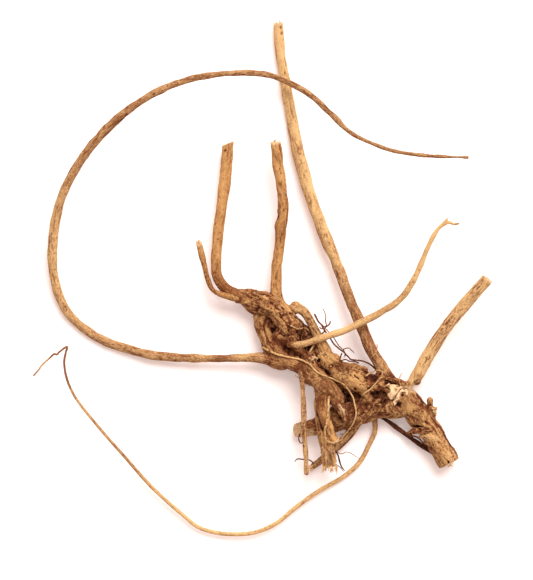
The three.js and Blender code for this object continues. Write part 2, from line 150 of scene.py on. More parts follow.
knobbyRoute = [
    [-41, 37, 6.8, 3], [-41.6, 44, 7, 2.3], [-41.4, 52, 7, 2.05], [-40.4, 60, 7, 1.9],
    [-39.6, 67.6, 7, 2.2], [-38.6, 76.8, 7.2, 2.05], [-39.6, 87, 8, 2.1], [-41, 96, 9.2, 2.2],
    [-41.8, 103, 10.4, 2.25],
]
bridgeRoute = [
    [-36, 37.8, 7.2, 2.6], [-30.8, 35.4, 7.2, 1.9], [-27.4, 30.6, 7, 1.75], [-24.8, 25, 7.2, 1.85],
    [-22.6, 19.6, 7.8, 2.6],
]
hangingRoute = [
    [-33.6, 17.4, 8.6, 1.3], [-31.7, 11.6, 11.4, 1.15], [-31, 5.2, 12.6, 1.05], [-30.7, -4, 12.8, 1.02],
    [-30.4, -12, 12.4, 1], [-29.9, -20, 11, 1], [-29.4, -29, 9.4, 0.95],
]
underRoute = [
    [-5, -2.4, 4.6, 2.4], [-8.8, -8.4, 3.9, 2.1], [-12.2, -13.6, 3.4, 1.85], [-17, -18.6, 3, 1.65],
    [-22.8, -23.6, 2.8, 1.45], [-28, -27.8, 3, 1.1],
]
darkRoute = [
    [-3.6, -4.4, 3.4, 1.1], [2, -7.8, 2.6, 0.85], [8, -12, 2.3, 0.9], [13.4, -16, 2.3, 0.95],
    [17.4, -19, 2.7, 0.9], [20.6, -21, 3.8, 0.8],
]

# Burls of the crown: centre, half sizes, turn about z in degrees.
burls = [
    ([1.8, -0.2, 6.4], [11.6, 7.4, 5.2], -4), ([-10, 9, 10], [7, 5, 4.4], -28),
    ([-19.2, 14.8, 9.6], [4.6, 4.4, 4.2], 20), ([-38, 25.6, 6.6], [6.4, 5.8, 4], 10),
    ([-42.6, 36, 8.4], [3.8, 3.6, 3.4], 40), ([-28.4, 14, 8.8], [5.6, 4, 4], -40),
    ([15.4, -8.6, 5], [5, 3.6, 4.2], -52), ([-7.6, 11.2, 10.6], [2.9, 2.5, 2.3], 0),
]
# Shapes too fine for the solid part: a curled lobe on the nub and a smooth strip beside the frayed stub.
nubLobe = [[20.4, -3.4, 6.6, 1.2], [21.6, -3.2, 6.8, 0.8], [22.8, -3.2, 6.8, 0.45]]
nubStrip = [[21.2, -4, 6.6, 1.1], [21.9, -5.4, 6.2, 0.85], [22.2, -6.6, 5.6, 0.6]]
wedge = [
    [-22.9, 2.6, 13.6, 1.7], [-22.9, 0.6, 14.2, 2.3], [-22.9, -3.6, 14.6, 2.55], [-21.6, -8.5, 14.6, 2.1],
    [-19.7, -13.2, 14, 1.8], [-18.1, -15.8, 13.3, 1.65],
]
vTip = [
    [-16.8, -1.4, 13.4, 1.5], [-15.4, -4.6, 13.7, 1.15], [-14.4, -7.4, 13.6, 0.9], [-13.9, -9, 13.4, 0.6],
]
# Webs of wood low down between the limbs of the head, filling the gaps; their dark tone is painted shade.
shadeWebs = [
    [[-21, 8.4, 7.6, 2], [-18, 6, 8.4, 2], [-15.6, 3.8, 8.6, 1.4]], [[-13, 4.4, 7, 2.2], [-9, 2.6, 7, 2.2]],
    [[-17.2, 2.8, 5.4, 2], [-14, 0.6, 5.4, 2.1], [-10.6, -1.6, 5.6, 2]],
    [[-37.4, 33.6, 5, 2.2], [-33.4, 29.6, 4.8, 2.8], [-29.6, 25.6, 4.8, 2.8], [-27.2, 20.6, 5.2, 2.4]],
    [[-45, 33, 5, 2.4], [-42, 29, 5, 2.6], [-41, 24, 5.2, 2.4]],
    [[-39.6, 22.4, 6, 2.2], [-35.6, 19, 6.6, 2.2], [-31.6, 17.6, 7, 2]],
]
# Rootlets: radius, whether the far end is free, and the way seen from above. A point's third value is the
# height at which it stands clear, and its fourth says how thick the rootlet is there.
paleRootlets = [
    (0.36, False, [
        (-47.2, 21.2), (-44, 19.6), (-40, 18), (-36, 17.2), (-32, 16.3), (-28.3, 14.5), (-26.3, 12.2),
        (-23.8, 10.6), (-20.6, 9.4), (-18.9, 8.6), (-14.4, 6), (-11.4, 1.9), (-10, -2.7), (-9.8, -6),
        (-11.2, -9.6), (-12.5, -11.8), (-14.4, -13.9), (-16.4, -15.9, 14), (-18.8, -16.6, 15.2),
        (-21.3, -15.9, 16.2, 1.15), (-22.3, -12.7, 17.2, 1.25), (-21.5, -7.8, 18.3, 1.3),
        (-20.9, -3, 18.2, 1.3), (-20.8, -0.4, 17, 1.2), (-20.6, 1.6),
    ]),
    (0.32, True, [(-12.4, -11.6), (-13.4, -13.4), (-15.8, -14)]),
    (0.3, False, [
        (-7.5, 1.8), (-5.8, 3.5), (-4.2, 4.6), (-2.6, 6.2), (-0.3, 8.6), (0.5, 9.8), (0.7, 11.3), (-0.9, 12),
        (-3.2, 11.5), (-4.7, 10.7), (-6, 9.8),
    ]),
    (0.26, False, [(-24, 17.4), (-23.4, 18.6), (-22.2, 19.1), (-21.2, 18.5), (-20.8, 17.4)]),
    (0.42, True, [(-26, 23), (-26.6, 21.8), (-27.8, 20), (-28.7, 18.4)]),
    (0.3, False, [(-36, 30), (-33, 28.4), (-30, 28.8), (-27.4, 26.4)]),
    (0.26, True, [(10.4, 3.4), (8.2, 5.8), (7.6, 8.8), (9, 10.6)]),
    (0.24, True, [(25.6, -22.6), (27.2, -23.6), (28.4, -25.6), (27.6, -27)]),
    (0.22, True, [(-3.6, 17), (-1.4, 19.6), (-0.8, 22.4)]),
]
darkRootlets = [
    (0.34, False, [
        (-26.3, 34.5, 8), (-25.3, 32.4, 8.8), (-23.6, 30.2, 9.6), (-22, 27.6, 9.6), (-19.8, 24.5, 8.8),
        (-17.7, 21.6, 8.6), (-14.6, 19.2, 8.6), (-12.4, 16.9, 7.6), (-10.8, 16.1), (-7.9, 15.7),
        (-4.4, 14.5), (-1.6, 12.2),
    ]),
    (0.24, True, [
        (-22.6, 27.6, 9.4), (-21.6, 29.8, 9.8), (-21.8, 31.2, 9.8), (-21.8, 33.7, 9), (-23, 36.9, 8),
    ]),
    (0.36, True, [(-22.4, 29.2, 9.6), (-21.4, 29.6, 10), (-20.4, 30.4, 10), (-19.9, 31.6, 9.8)]),
    (0.3, False, [(-21.8, 29.6, 9.6), (-22.2, 28, 9.4), (-23, 26.5)]),
    (0.24, True, [(-21.6, 28.6, 9.6), (-20.9, 27.6, 9.6), (-20.2, 26.9, 9.4)]),
    (0.3, True, [(-23.8, 30.4, 9.6), (-22.6, 29.4, 9.9), (-23.4, 28.4, 9.7), (-24.2, 29.2, 9.6)]),
    (0.24, False, [
        (-20, 26.8, 9), (-18.1, 24.3, 9.4), (-16.5, 21.8, 9.6), (-14.6, 19.8, 9.2), (-13.8, 17.6),
    ]),
    (0.24, True, [
        (-14.9, 20.2, 9.2), (-13.6, 20.8, 9.8), (-12.4, 20.8, 9.8), (-11.4, 20, 9.4), (-10.4, 18.9, 8.6),
    ]),
    (0.28, False, [
        (-15.3, 18.8, 8.8), (-15.9, 17.2, 8.8), (-15.6, 15.9), (-13.6, 16.2), (-12.4, 15.6), (-10.4, 15.5),
        (-8.5, 14.7),
    ]),
    (0.26, True, [(-32, -13.4, 5), (-32.6, -15.4, 4.6), (-31.7, -17, 4.8), (-30.8, -16.4, 5)]),
    (0.34, False, [
        (11.4, -13.9, 2.6), (14.8, -14.8, 3), (16.8, -16.6, 3.4), (18.6, -18.4, 4), (20.4, -19.6),
    ]),
    (0.24, True, [(16, -18.2, 2.6), (17.2, -16.9, 3.4), (18.4, -16.8, 4)]),
    (0.26, False, [(-34.4, 33.6), (-31.6, 31.4), (-30.4, 28.2), (-31.4, 25), (-30.2, 22.2)]),
    (0.22, False, [(-27.6, 28.8), (-29.2, 26.2), (-28.6, 23.4), (-29.6, 20.8), (-28.6, 18)]),
    (0.24, False, [(-40, 28), (-37.6, 26), (-36.4, 22.8), (-33.8, 20.6)]),
    (0.2, True, [(-44.6, 33), (-46.6, 30), (-45.8, 27)]),
    (0.2, True, [(0.4, -3.6), (-1.4, -5.6), (-4.2, -6.6), (-5.6, -9)]),
    (0.22, False, [(4.6, 2.2), (3, -0.4), (0.6, -2), (-2.4, -1.6)]),
]
# Rootlets that stand clear of what is below them: how light, and [x, y, z, radius] along each.
looseRootlets = [
    (0.3, [
        [-18.4, -19.8, 10.4, 0.34], [-17, -21.6, 10, 0.34], [-16.4, -23.8, 9.4, 0.38],
        [-15.6, -26.2, 8.4, 0.32], [-14.2, -28.2, 7, 0.2],
    ]),
    (0.3, [
        [-20, -24.4, 9.6, 0.24], [-17.8, -25.6, 8.8, 0.24], [-16, -26.8, 8, 0.2], [-14.6, -28.6, 7, 0.14],
    ]),
    (0.2, [
        [-34.2, -25, 4.4, 0.16], [-33.2, -23.7, 5.2, 0.24], [-30.7, -23.8, 5.4, 0.28],
        [-28.2, -24.1, 4.6, 0.28], [-26.2, -25.8, 3.2, 0.26],
    ]),
    (1.1, [
        [-18.6, -20, 9, 0.2], [-15.3, -21.4, 8.6, 0.18], [-13.7, -20.7, 8.2, 0.17],
        [-11.9, -21.1, 7.6, 0.16], [-10.5, -22, 6.8, 0.15], [-8, -23.6, 5.6, 0.12],
    ]),
]
# Torn ends: a place (its height is left out on the crown's top), the way the fibres point, how many, spread,
# length and width.
splinterTufts = [
    ((-14.6, -5, 13.7), (0.3, -1, -0.05), 3, 0.9, 3, 0.5),
    ((-16.4, -1.6, 14.9), (0.36, -1, -0.12), 9, 1.1, 6, 0.45),
    ((25.2, 71, 22), (0.5, 0.85, 0), 3, 0.7, 1.6, 0.35), ((30, 70.2, 21), (1, 0.1, 0), 2, 0.4, 1.4, 0.25),
    ((20.6, 62.6, 20), (0.8, -0.5, -0.1), 4, 2.4, 2.6, 0.3),
    ((-22.6, -26, 12.6), (-0.1, -1, 0), 5, 1.3, 2.4, 0.6),
    ((-20.3, -26.2, 13.9), (0, -1, 0.05), 5, 1.5, 2.2, 0.6),
    ((-18, -26.2, 12.2), (0.15, -1, 0), 5, 1.3, 2.6, 0.6),
    ((-19.4, -26.6, 8.9), (0.1, -1, -0.1), 5, 1.4, 2, 0.6),
    ((-22.2, -26, 9.4), (0, -1, -0.1), 4, 1.2, 2.2, 0.6),
    ((-40.9, 150, 3.6), (-0.06, 1, 0), 5, 1.8, 1.8, 0.7),
    ((-72.3, 62.2, 12.4), (-0.25, 1, 0.1), 6, 1.6, 1.7, 0.7),
    ((-41.8, 102.4, 10.4), (-0.05, 1, 0), 3, 2.4, 1.2, 0.8),
    ((-60, 102.2, 6), (0.05, 1, 0), 2, 1.4, 0.9, 0.6), ((42, 48, 13), (0.65, 0.75, 0), 5, 2, 1.1, 0.8),
    ((-27, -27, 4.1), (-0.8, -0.5, 0.05), 9, 1.5, 2.6, 0.7),
    ((27.6, -24.8, 9.6), (0.5, -0.8, 0), 3, 1, 2.2, 0.5),
    ((-32.4, -11, 8), (-0.7, -0.3, 0.1), 4, 1.8, 1.6, 0.6),
    ((-9.4, -6.4, 6.4), (-0.4, 0.9, 0.1), 3, 0.8, 2.2, 0.8),
    ((-17.8, -16, 13.6), (0.4, -0.9, 0), 4, 0.8, 1.6, 0.5),
]
# Long fibres laid bare along the frayed stub.
stubFibres = [
    ((-22.6, -18.4, 13.7), (0.12, -1, -0.02), 6, 1.6, 5, 0.5),
    ((-20.8, -18.6, 14.2), (0.06, -1, -0.04), 6, 2, 5, 0.5),
    ((-22, -21, 13.4), (0.1, -1, -0.04), 6, 1.4, 5, 0.45),
    ((-18.9, -19.6, 13.2), (0, -1, -0.08), 6, 1, 5.6, 0.45),
    ((-20.4, -22, 13), (0.04, -1, -0.1), 5, 1.4, 4, 0.4),
]
# Thin torn flakes: tone, how pale, and the outline from above, each point with its lift over the wood.
tornFlakes = [
    (1.1, 1, [
        (1.9, 5.8, 1.1), (2.5, 6.3, 1.3), (3.3, 6.8, 1.3), (3.9, 6.3, 1), (4.6, 6.5, 1.1), (5.8, 6.4, 1.1),
        (7, 6.1, 1), (8.2, 5.6, 0.8), (9, 5, 0.5), (7.9, 4.5, 0.7), (6.9, 3.2, 0.8), (6, 1.9, 0.8),
        (5.3, 1, 0.8), (4.7, 0.4, 0.9), (3.9, 0.2, 1), (3.2, 1.4, 1.2), (2.6, 2, 1.3), (2.9, 2.9, 1.2),
        (3.9, 3.4, 0.8), (4, 4.2, 0.8), (3.5, 4.9, 1), (2.9, 5.5, 1.1),
    ]),
    (1.15, 1, [
        (8.4, 4.5, 0.5), (9.6, 4.3, 0.4), (9.4, 3.4, 0.5), (8.4, 3.4, 0.7), (7.6, 2.4, 0.9), (7.5, 1.2, 0.8),
        (7.9, 0.5, 0.5), (7, 0, 0.6), (6.5, -0.9, 0.7), (6, -1.6, 0.7), (5.5, -2, 0.9), (5.3, -1.3, 0.7),
        (4.8, -0.9, 0.9), (5.2, -0.1, 0.7), (6.1, 0.7, 0.6), (6.5, 1.9, 0.7), (7.3, 3.3, 0.7),
    ]),
    (0.7, 0.8, [
        (9, 4, 0.3), (10.2, 4.6, 0.4), (11.2, 3.6, 0.4), (10.9, 2.3, 0.5), (10, 2.2, 0.6), (9.9, 3.1, 0.5),
    ]),
    (1.35, 1.3, [
        (-16.9, -0.9, 0.1), (-16.2, -1.3, 0.2), (-15.4, -2.5, 0.2), (-14.6, -3.9, 0.3), (-14.3, -5.3, 0.5),
        (-15, -4.5, 0.3), (-15.9, -3, 0.2), (-16.8, -1.8, 0.2),
    ]),
    (1.35, 1.3, [
        (-15.7, -0.2, 0.1), (-15.1, -0.7, 0.2), (-14.5, -1.9, 0.3), (-14.1, -3.6, 0.5), (-14.6, -3.9, 0.4),
        (-15, -2.4, 0.3), (-15.6, -1.2, 0.2),
    ]),
    (0.6, 0.5, [
        (-28.8, 16.8, 0.5), (-28.2, 17.6, 0.7), (-26.8, 17.8, 0.9), (-25.6, 17.4, 0.7), (-24.8, 17.2, 0.8),
        (-25, 16.4, 0.6), (-26.4, 16.3, 0.6), (-27.6, 15.9, 0.4), (-28.4, 16, 0.4),
    ]),
    (0.95, 1, [
        (20.4, -3.2, 0.4), (21.4, -2.3, 0.9), (22, -3, 0.7), (23.8, -2.7, 1.4), (22.8, -3.5, 0.8),
        (23.4, -4, 1.2), (22.7, -4.6, 0.8), (23.1, -5.6, 1.1), (22.3, -6.6, 0.8), (21.7, -5.2, 0.6),
        (20.8, -4.6, 0.5),
    ]),
    (0.9, 0.5, [
        (13.4, 7.6, 0.1), (13.8, 8.4, 0.15), (15, 8.9, 0.15), (16.2, 8.4, 0.15), (16.7, 7.3, 0.1),
        (16.3, 6.2, 0.1), (15.2, 5.6, 0.1), (14, 6, 0.1), (13.4, 6.8, 0.1),
    ]),
    (0.45, 0, [
        (13.9, 7.4, 0.4), (14.4, 8.1, 0.45), (15.2, 8.2, 0.45), (16, 7.6, 0.45), (16.1, 6.9, 0.4),
        (15.6, 6.3, 0.4), (14.7, 6.2, 0.4), (14.1, 6.7, 0.4),
    ]),
    (-0.2, 0, [
        (-8, 13.6, 0.6), (-6.8, 13.9, 1), (-5.6, 13.2, 0.9), (-5.2, 12, 1.2), (-5.6, 10.8, 0.8),
        (-6.6, 11.6, 0.5), (-7.6, 12.4, 0.4),
    ]),
]
# Hairs: x, y, spread, number, longest, tone.
fuzzZones = [
    (-22, 5, 4, 110, 3.6, 1.0), (-30, 11.4, 4, 80, 3.6, 1.0), (-17, -1, 2.4, 40, 3, 0.9),
    (-13.6, 12.8, 3, 60, 2.4, 0.7), (-22, -20, 3, 40, 3, 1.0), (-8, -1.4, 3.4, 90, 3.4, 0.8),
    (-2, 0, 4, 50, 3, 0.3), (-30, 25, 4, 60, 3.4, 0.4), (-29, 20.4, 2.6, 40, 3, 0.3),
    (5, -1.5, 3, 40, 2.6, 0.6), (0.6, 1.8, 2, 60, 2.4, 1.2), (-32, 28, 3, 50, 3.4, 1.0),
    (-12, -8, 4, 40, 3, 0.3), (-21, -10, 4, 30, 2.6, 0.35), (16, -8, 5, 30, 2.2, 0.9),
    (3, 9, 3, 24, 2.6, 0.7), (-45, 36, 6, 60, 3.2, 0.4), (-20, 12, 5, 30, 2.6, 0.7), (-27, 8, 4, 24, 3, 0.5),
]


# A repeatable chain of draws between 0 and 1, the one that shaped the wood of the solid part.
def seededDraws(seed):
    state = seed
    full = 0xFFFFFFFF
    while True:
        state = (state + 0x6D2B79F5) & full
        mixed = ((state ^ state >> 15) * (state | 1)) & full
        mixed = (mixed ^ (mixed + ((mixed ^ mixed >> 7) * (mixed | 61) & full))) & full
        yield (mixed ^ mixed >> 14) / (full + 1)


swell = {"seed": 11, "waves": 14, "shortest": 5, "longest": 15, "crown": 0.55, "root": 0.13}
draws = seededDraws(swell["seed"])
next(draws)
swellWaves = []
for number in range(swell["waves"]):
    length = swell["shortest"] + (swell["longest"] - swell["shortest"]) * next(draws)
    way = np.array([next(draws) - 0.5, next(draws) - 0.5, next(draws) - 0.5])
    way *= 2 * math.pi / length / np.linalg.norm(way)
    swellWaves.append((way, 2 * math.pi * next(draws)))


def swellAt(points):
    total = sum(np.sin(points @ way + phase) for way, phase in swellWaves)
    return total / math.sqrt(len(swellWaves))


def smoothStep(value, low, high):
    part = np.clip((value - low) / (high - low), 0, 1)
    return part * part * (3 - 2 * part)


# Gradient noise in space, about -1 to 1; the points are given in cells.
noiseTable = np.tile(np.random.RandomState(5).permutation(256), 2)
noiseWays = np.array([way for way in np.ndindex(3, 3, 3) if sum(part == 1 for part in way) == 1]) - 1.0
noiseShift = np.array([17.31, 59.17, 101.73])


def cellNoise(points, seed=0):
    points = points + seed * noiseShift
    base = np.floor(points).astype(int)
    part = points - base
    fade = part ** 3 * (part * (part * 6 - 15) + 10)
    total = np.zeros(len(points))
    for corner in np.ndindex(2, 2, 2):
        cell = (base + corner) & 255
        pick = noiseTable[noiseTable[noiseTable[cell[:, 0]] + cell[:, 1]] + cell[:, 2]] % 12
        share = np.prod(np.where(corner, fade, 1 - fade), axis=1)
        total += share * (noiseWays[pick] * (part - corner)).sum(1)
    return total


def layeredNoise(points, layers=3, seed=0):
    total = sum(cellNoise(points * 2 ** i, seed + i) / 2 ** i for i in range(layers))
    return total / (2 - 0.5 ** (layers - 1))


# A smooth centripetal curve through a route, sampled at even steps: points, radius and length so far.
stretchSamples = 24


def followRoute(route, step):
    route = np.array(route, float)
    knots = route[:, :3]
    knots = np.vstack([2 * knots[0] - knots[1], knots, 2 * knots[-1] - knots[-2]])
    t = np.linspace(0, 1, stretchSamples, endpoint=False)[:, None]
    points = []
    radii = []
    for i in range(len(route) - 1):
        a, b, c, d = knots[i:i + 4]
        ab, bc, cd = (math.sqrt(np.linalg.norm(q - p)) for p, q in ((a, b), (b, c), (c, d)))
        leave = ((b - a) / ab - (c - a) / (ab + bc) + (c - b) / bc) * bc
        arrive = ((c - b) / bc - (d - b) / (bc + cd) + (d - c) / cd) * bc
        points.append(b + leave * t + (3 * (c - b) - 2 * leave - arrive) * t ** 2
                      + (2 * (b - c) + leave + arrive) * t ** 3)
        radii.append(route[i, 3] + (route[i + 1, 3] - route[i, 3]) * smoothStep(t[:, 0], 0, 1))
    points = np.vstack([*points, knots[-2]])
    radii = np.append(np.concatenate(radii), route[-1, 3])
    reach = np.append(0, np.cumsum(np.linalg.norm(np.diff(points, axis=0), axis=1)))
    along = np.linspace(0, reach[-1], max(4, round(reach[-1] / step)) + 1)
    points = np.column_stack([np.interp(along, reach, points[:, axis]) for axis in range(3)])
    return points, np.interp(along, reach, radii), along


def unit(vectors):
    return vectors / np.maximum(np.linalg.norm(vectors, axis=-1, keepdims=True), 1e-9)


# Directions carried along a path: forward, over the root and to its side.
def carriedFrames(points):
    forward = unit(np.gradient(points, axis=0))
    over = np.zeros_like(points)
    lead = np.array([0.0, 0.0, 1.0]) if abs(forward[0, 2]) < 0.9 else np.array([1.0, 0.0, 0.0])
    for i, ahead in enumerate(forward):
        lead = lead - ahead * (lead @ ahead)
        lead /= np.linalg.norm(lead)
        over[i] = lead
    return forward, over, np.cross(forward, over)


# The ways that point outwards around a path, one ring of them at each of its points, and their angles.
def ringWays(over, side, sides):
    angle = np.linspace(0, 2 * math.pi, sides, endpoint=False)
    return np.cos(angle)[None, :, None] * over[:, None] + np.sin(angle)[None, :, None] * side[:, None], angle


# How far the wood swells at the points of rings, at most a third of their radius.
def swellOf(surface, radius, push):
    return np.minimum(push, radius / 3) * swellAt(surface.reshape(-1, 3)).reshape(surface.shape[:2])


# What all bark shares: sizes in mm along and across a root, and how sharp and how deep its lines are.
barkDetail = {
    "bend": 7, "stretch": [9, 2.6, 2.6], "fineStretch": [5, 2, 2], "fibre": [6, 0.85, 0.85],
    "fineFibre": [3.6, 0.6, 0.6], "grit": [1.1, 0.75, 0.75], "lumpShape": [1, 0.5, 0.5],
    "fineScale": [2.2, 2.6, 2.6], "line": 0.1, "fineLine": 0.12, "fineDepth": 0.4, "pitEdge": 0.16,
    "lineDark": 0.85, "fineDark": 0.45,
}


# The relief of the bark at places given along and across a root: height in mm and masks 0 to 1.
def barkRelief(space, radius, style, seed):
    detail = barkDetail
    width = np.minimum(style["furrowWidth"], 0.5 * radius)[:, None]
    bend = layeredNoise(space / detail["bend"], 2, seed + 3)[:, None] * style["wander"]
    place = np.hstack([space[:, :1] / style["furrowLength"], space[:, 1:] / width]) + bend
    ridge = cellNoise(place, seed)
    furrow = np.exp(-(ridge / detail["line"]) ** 2)
    furrow *= smoothStep(cellNoise(space / detail["stretch"], seed + 7), -0.15, 0.2)
    fineFurrow = np.exp(-(cellNoise(place * detail["fineScale"], seed + 11) / detail["fineLine"]) ** 2)
    fineFurrow *= smoothStep(cellNoise(space / detail["fineStretch"], seed + 13), -0.1, 0.3)
    fibre = cellNoise(space / detail["fibre"], seed + 17)
    fibre += 0.5 * cellNoise(space / detail["fineFibre"], seed + 18)
    spots = cellNoise(space / [style["pitLength"], style["pitWidth"], style["pitWidth"]], seed + 21)
    pit = smoothStep(spots, style["pitFrom"], style["pitFrom"] + detail["pitEdge"])
    lump = layeredNoise(space / (np.array(detail["lumpShape"]) * style["lumpLength"]), 3, seed + 31)
    grit = cellNoise(space / detail["grit"], seed + 41)
    small = np.minimum(1, radius / 2)
    height = small * (style["lump"] * lump + style["ridge"] * np.abs(ridge) - style["furrow"] * furrow
                      - detail["fineDepth"] * style["furrow"] * fineFurrow - style["pit"] * pit
                      + style["fibre"] * fibre + style["grit"] * grit)
    # Furrows are darkened: partly the bark's own darker lines, partly painted shade in them.
    crease = detail["lineDark"] * furrow + detail["fineDark"] * fineFurrow
    crease -= min(0.5, 4 * style["fibre"]) * fibre
    return height, np.clip(style["lines"] * crease, 0, 1), style["spots"] * pit


# Meshes in mm from stacks of rings, each closed at both ends, with the values of each field per point.
def bundlePiece(name, bundles, material):
    points = []
    faces = []
    full = {}
    start = 0
    for rings, fields in bundles:
        count, sides = rings.shape[:2]
        corner = start + np.arange(count * sides).reshape(count, sides)
        beside = np.roll(corner, -1, axis=1)
        quads = np.stack([corner[:-1], beside[:-1], beside[1:], corner[1:]], axis=-1).reshape(-1, 4)
        first, last = start + count * sides, start + count * sides + 1
        faces += quads.tolist()
        faces += [(first, b, a) for a, b in zip(corner[0].tolist(), beside[0].tolist())]
        faces += [(last, a, b) for a, b in zip(corner[-1].tolist(), beside[-1].tolist())]
        points.append(np.vstack([rings.reshape(-1, 3), rings[0].mean(0), rings[-1].mean(0)]))
        for field, values in fields.items():
            flat = values.reshape(count * sides, -1)
            ends = np.vstack([flat[:sides].mean(0), flat[-sides:].mean(0)])
            full.setdefault(field, []).append(np.vstack([flat, ends]))
        start += count * sides + 2
    full = {field: np.vstack(values) for field, values in full.items()}
    return meshPiece(name, np.vstack(points), faces, full, material)


def addObject(name, data):
    made = bpy.data.objects.new(name, data)
    bpy.context.scene.collection.objects.link(made)
    return made


def meshPiece(name, points, faces, fields, material):
    mesh = bpy.data.meshes.new(name)
    points = points * mm
    points[:, 2] = np.maximum(points[:, 2], 0)  # what rests on the surface is pressed flat
    mesh.from_pydata(points.tolist(), [], faces)
    mesh.polygons.foreach_set("use_smooth", np.ones(len(mesh.polygons), bool))
    for field, values in fields.items():
        kind, entry = ("FLOAT_VECTOR", "vector") if values.shape[1] == 3 else ("FLOAT", "value")
        layer = mesh.attributes.new(field, kind, "POINT")
        layer.data.foreach_set(entry, values.astype(np.float32).ravel())
    mesh.materials.append(material)
    mesh.update()
    return addObject(name, mesh)


def finishPiece(piece):
    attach(piece, "root")
    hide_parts("root_crown")
    return piece


# Shader helpers.
def addNode(tree, kind, inputs=None, **settings):
    node = tree.nodes.new(kind)
    for key, value in settings.items():
        setattr(node, key, value)
    for key, value in (inputs or {}).items():
        if isinstance(value, bpy.types.NodeSocket):
            tree.links.new(value, node.inputs[key])
        else:
            node.inputs[key].default_value = value
    return node


def addMath(tree, operation, a, b, clamp=False):
    return addNode(tree, "ShaderNodeMath", {0: a, 1: b}, operation=operation, use_clamp=clamp).outputs[0]


def addNoise(tree, place, scale, detail, roughness, distortion):
    return addNode(tree, "ShaderNodeTexNoise", {
        "Vector": place, "Scale": scale, "Detail": detail, "Roughness": roughness, "Distortion": distortion,
    }).outputs["Fac"]


def mixColours(tree, share, below, above):
    return addNode(tree, "ShaderNodeMix", {0: share, 6: below, 7: above}, data_type="RGBA").outputs[2]


def newGroup(name, inputs, outputs):
    group = bpy.data.node_groups.new(name, "ShaderNodeTree")
    for label, kind, value in inputs:
        socket = group.interface.new_socket(label, in_out="INPUT", socket_type="NodeSocket" + kind)
        if value is not None:
            socket.default_value = value
    for label, kind in outputs:
        group.interface.new_socket(label, in_out="OUTPUT", socket_type="NodeSocket" + kind)
    return group, group.nodes.new("NodeGroupInput").outputs, group.nodes.new("NodeGroupOutput").inputs


# Fine grain: streaks along the root, light and dark speckles, dark flecks and a height for the bump.
def makeGrainGroup():
    group, given, out = newGroup(
        "barkGrain",
        [("Place", "Vector", None), ("Length", "Float", 1.5), ("Width", "Float", 0.45),
         ("Streaks", "Float", 1.4), ("Speckles", "Float", 1.0), ("Flecks", "Float", 0.5),
         ("Share", "Float", 1.0)],
        [("Swing", "Float"), ("Fleck", "Float"), ("Height", "Float")],
    )
    across = addMath(group, "DIVIDE", 1.0, given["Width"])
    scale = addNode(group, "ShaderNodeCombineXYZ", {
        "X": addMath(group, "DIVIDE", 1.0, given["Length"]), "Y": across, "Z": across,
    }).outputs[0]
    place = addNode(group, "ShaderNodeVectorMath", {
        0: given["Place"], 1: scale,
    }, operation="MULTIPLY").outputs[0]
    streak = addNoise(group, place, scale=1.0, detail=4.0, roughness=0.62, distortion=0.4)
    speckle = addNoise(group, given["Place"], scale=1.5, detail=3.0, roughness=0.62, distortion=0.3)
    spot = addNoise(group, given["Place"], scale=1.1, detail=2.0, roughness=0.7, distortion=0.0)
    fleck = addNode(group, "ShaderNodeMapRange", {
        "Value": spot, "From Min": 0.58, "From Max": 0.7, "To Min": 0.0, "To Max": given["Flecks"],
    }, interpolation_type="SMOOTHSTEP").outputs["Result"]
    streaks = addMath(group, "MULTIPLY", addMath(group, "SUBTRACT", streak, 0.5), given["Streaks"])
    speckles = addMath(group, "MULTIPLY", addMath(group, "SUBTRACT", speckle, 0.5), given["Speckles"])
    swing = addMath(group, "MULTIPLY", addMath(group, "ADD", streaks, speckles), given["Share"])
    group.links.new(swing, out["Swing"])
    group.links.new(fleck, out["Fleck"])
    group.links.new(addMath(group, "SUBTRACT", swing, fleck), out["Height"])
    return group


# Bark colour: light on the ridges, middle lower down, deep in creases and pits, and pale where torn. The
# creases also carry painted shade from hollows, folds, slits, shaded edges and flake undersides.
def makeTintGroup():
    group, given, out = newGroup(
        "barkTint",
        [("Tone", "Float", 0.5), ("Swing", "Float", 0.0), ("Fleck", "Float", 0.0), ("Crease", "Float", 0.0),
         ("Pit", "Float", 0.0), ("Pale", "Float", 0.0), ("StainAndShade", "Float", 1.5),
         ("Deep", "Color", (0.05, 0.02, 0.01, 1)), ("Middle", "Color", (0.35, 0.17, 0.06, 1)),
         ("Light", "Color", (0.7, 0.42, 0.18, 1)), ("Torn", "Color", (0.85, 0.63, 0.38, 1))],
        [("Color", "Color"), ("Roughness", "Float")],
    )
    # Pits, creases and flecks darken the bark: the bark's own marks, and painted shade through the creases.
    dark = addMath(group, "MAXIMUM", given["Pit"], given["Crease"])
    dark = addMath(group, "MAXIMUM", dark, given["Fleck"], True)
    stainAndShade = addMath(group, "MULTIPLY", dark, given["StainAndShade"])
    level = addMath(group, "SUBTRACT", addMath(group, "ADD", given["Tone"], given["Swing"]), stainAndShade)
    above = addMath(group, "MULTIPLY", level, 1.0, True)
    below = addMath(group, "MULTIPLY", level, -1.0, True)
    body = mixColours(group, above, given["Middle"], given["Light"])
    streaked = addMath(group, "MULTIPLY", given["Swing"], 1.0, True)
    wood = mixColours(group, streaked, given["Torn"], given["Middle"])
    deepened = mixColours(group, below, mixColours(group, given["Pale"], body, wood), given["Deep"])
    group.links.new(deepened, out["Color"])
    rough = addNode(group, "ShaderNodeMapRange", {
        "Value": above, "To Min": 0.9, "To Max": 0.66,
    }).outputs["Result"]
    group.links.new(rough, out["Roughness"])
    return group


grainGroup = makeGrainGroup()
tintGroup = makeTintGroup()


def readField(tree, name, output="Fac"):
    return addNode(tree, "ShaderNodeAttribute", attribute_name=name).outputs[output]


def newMaterial(name, values):
    material = bpy.data.materials.new(name)
    material.use_nodes = True
    shader = material.node_tree.nodes["Principled BSDF"]
    for key, value in values.items():
        shader.inputs[key].default_value = value
    return material, shader


barkSurface = {"specular": 0.15, "bumpDistance": 0.0003}


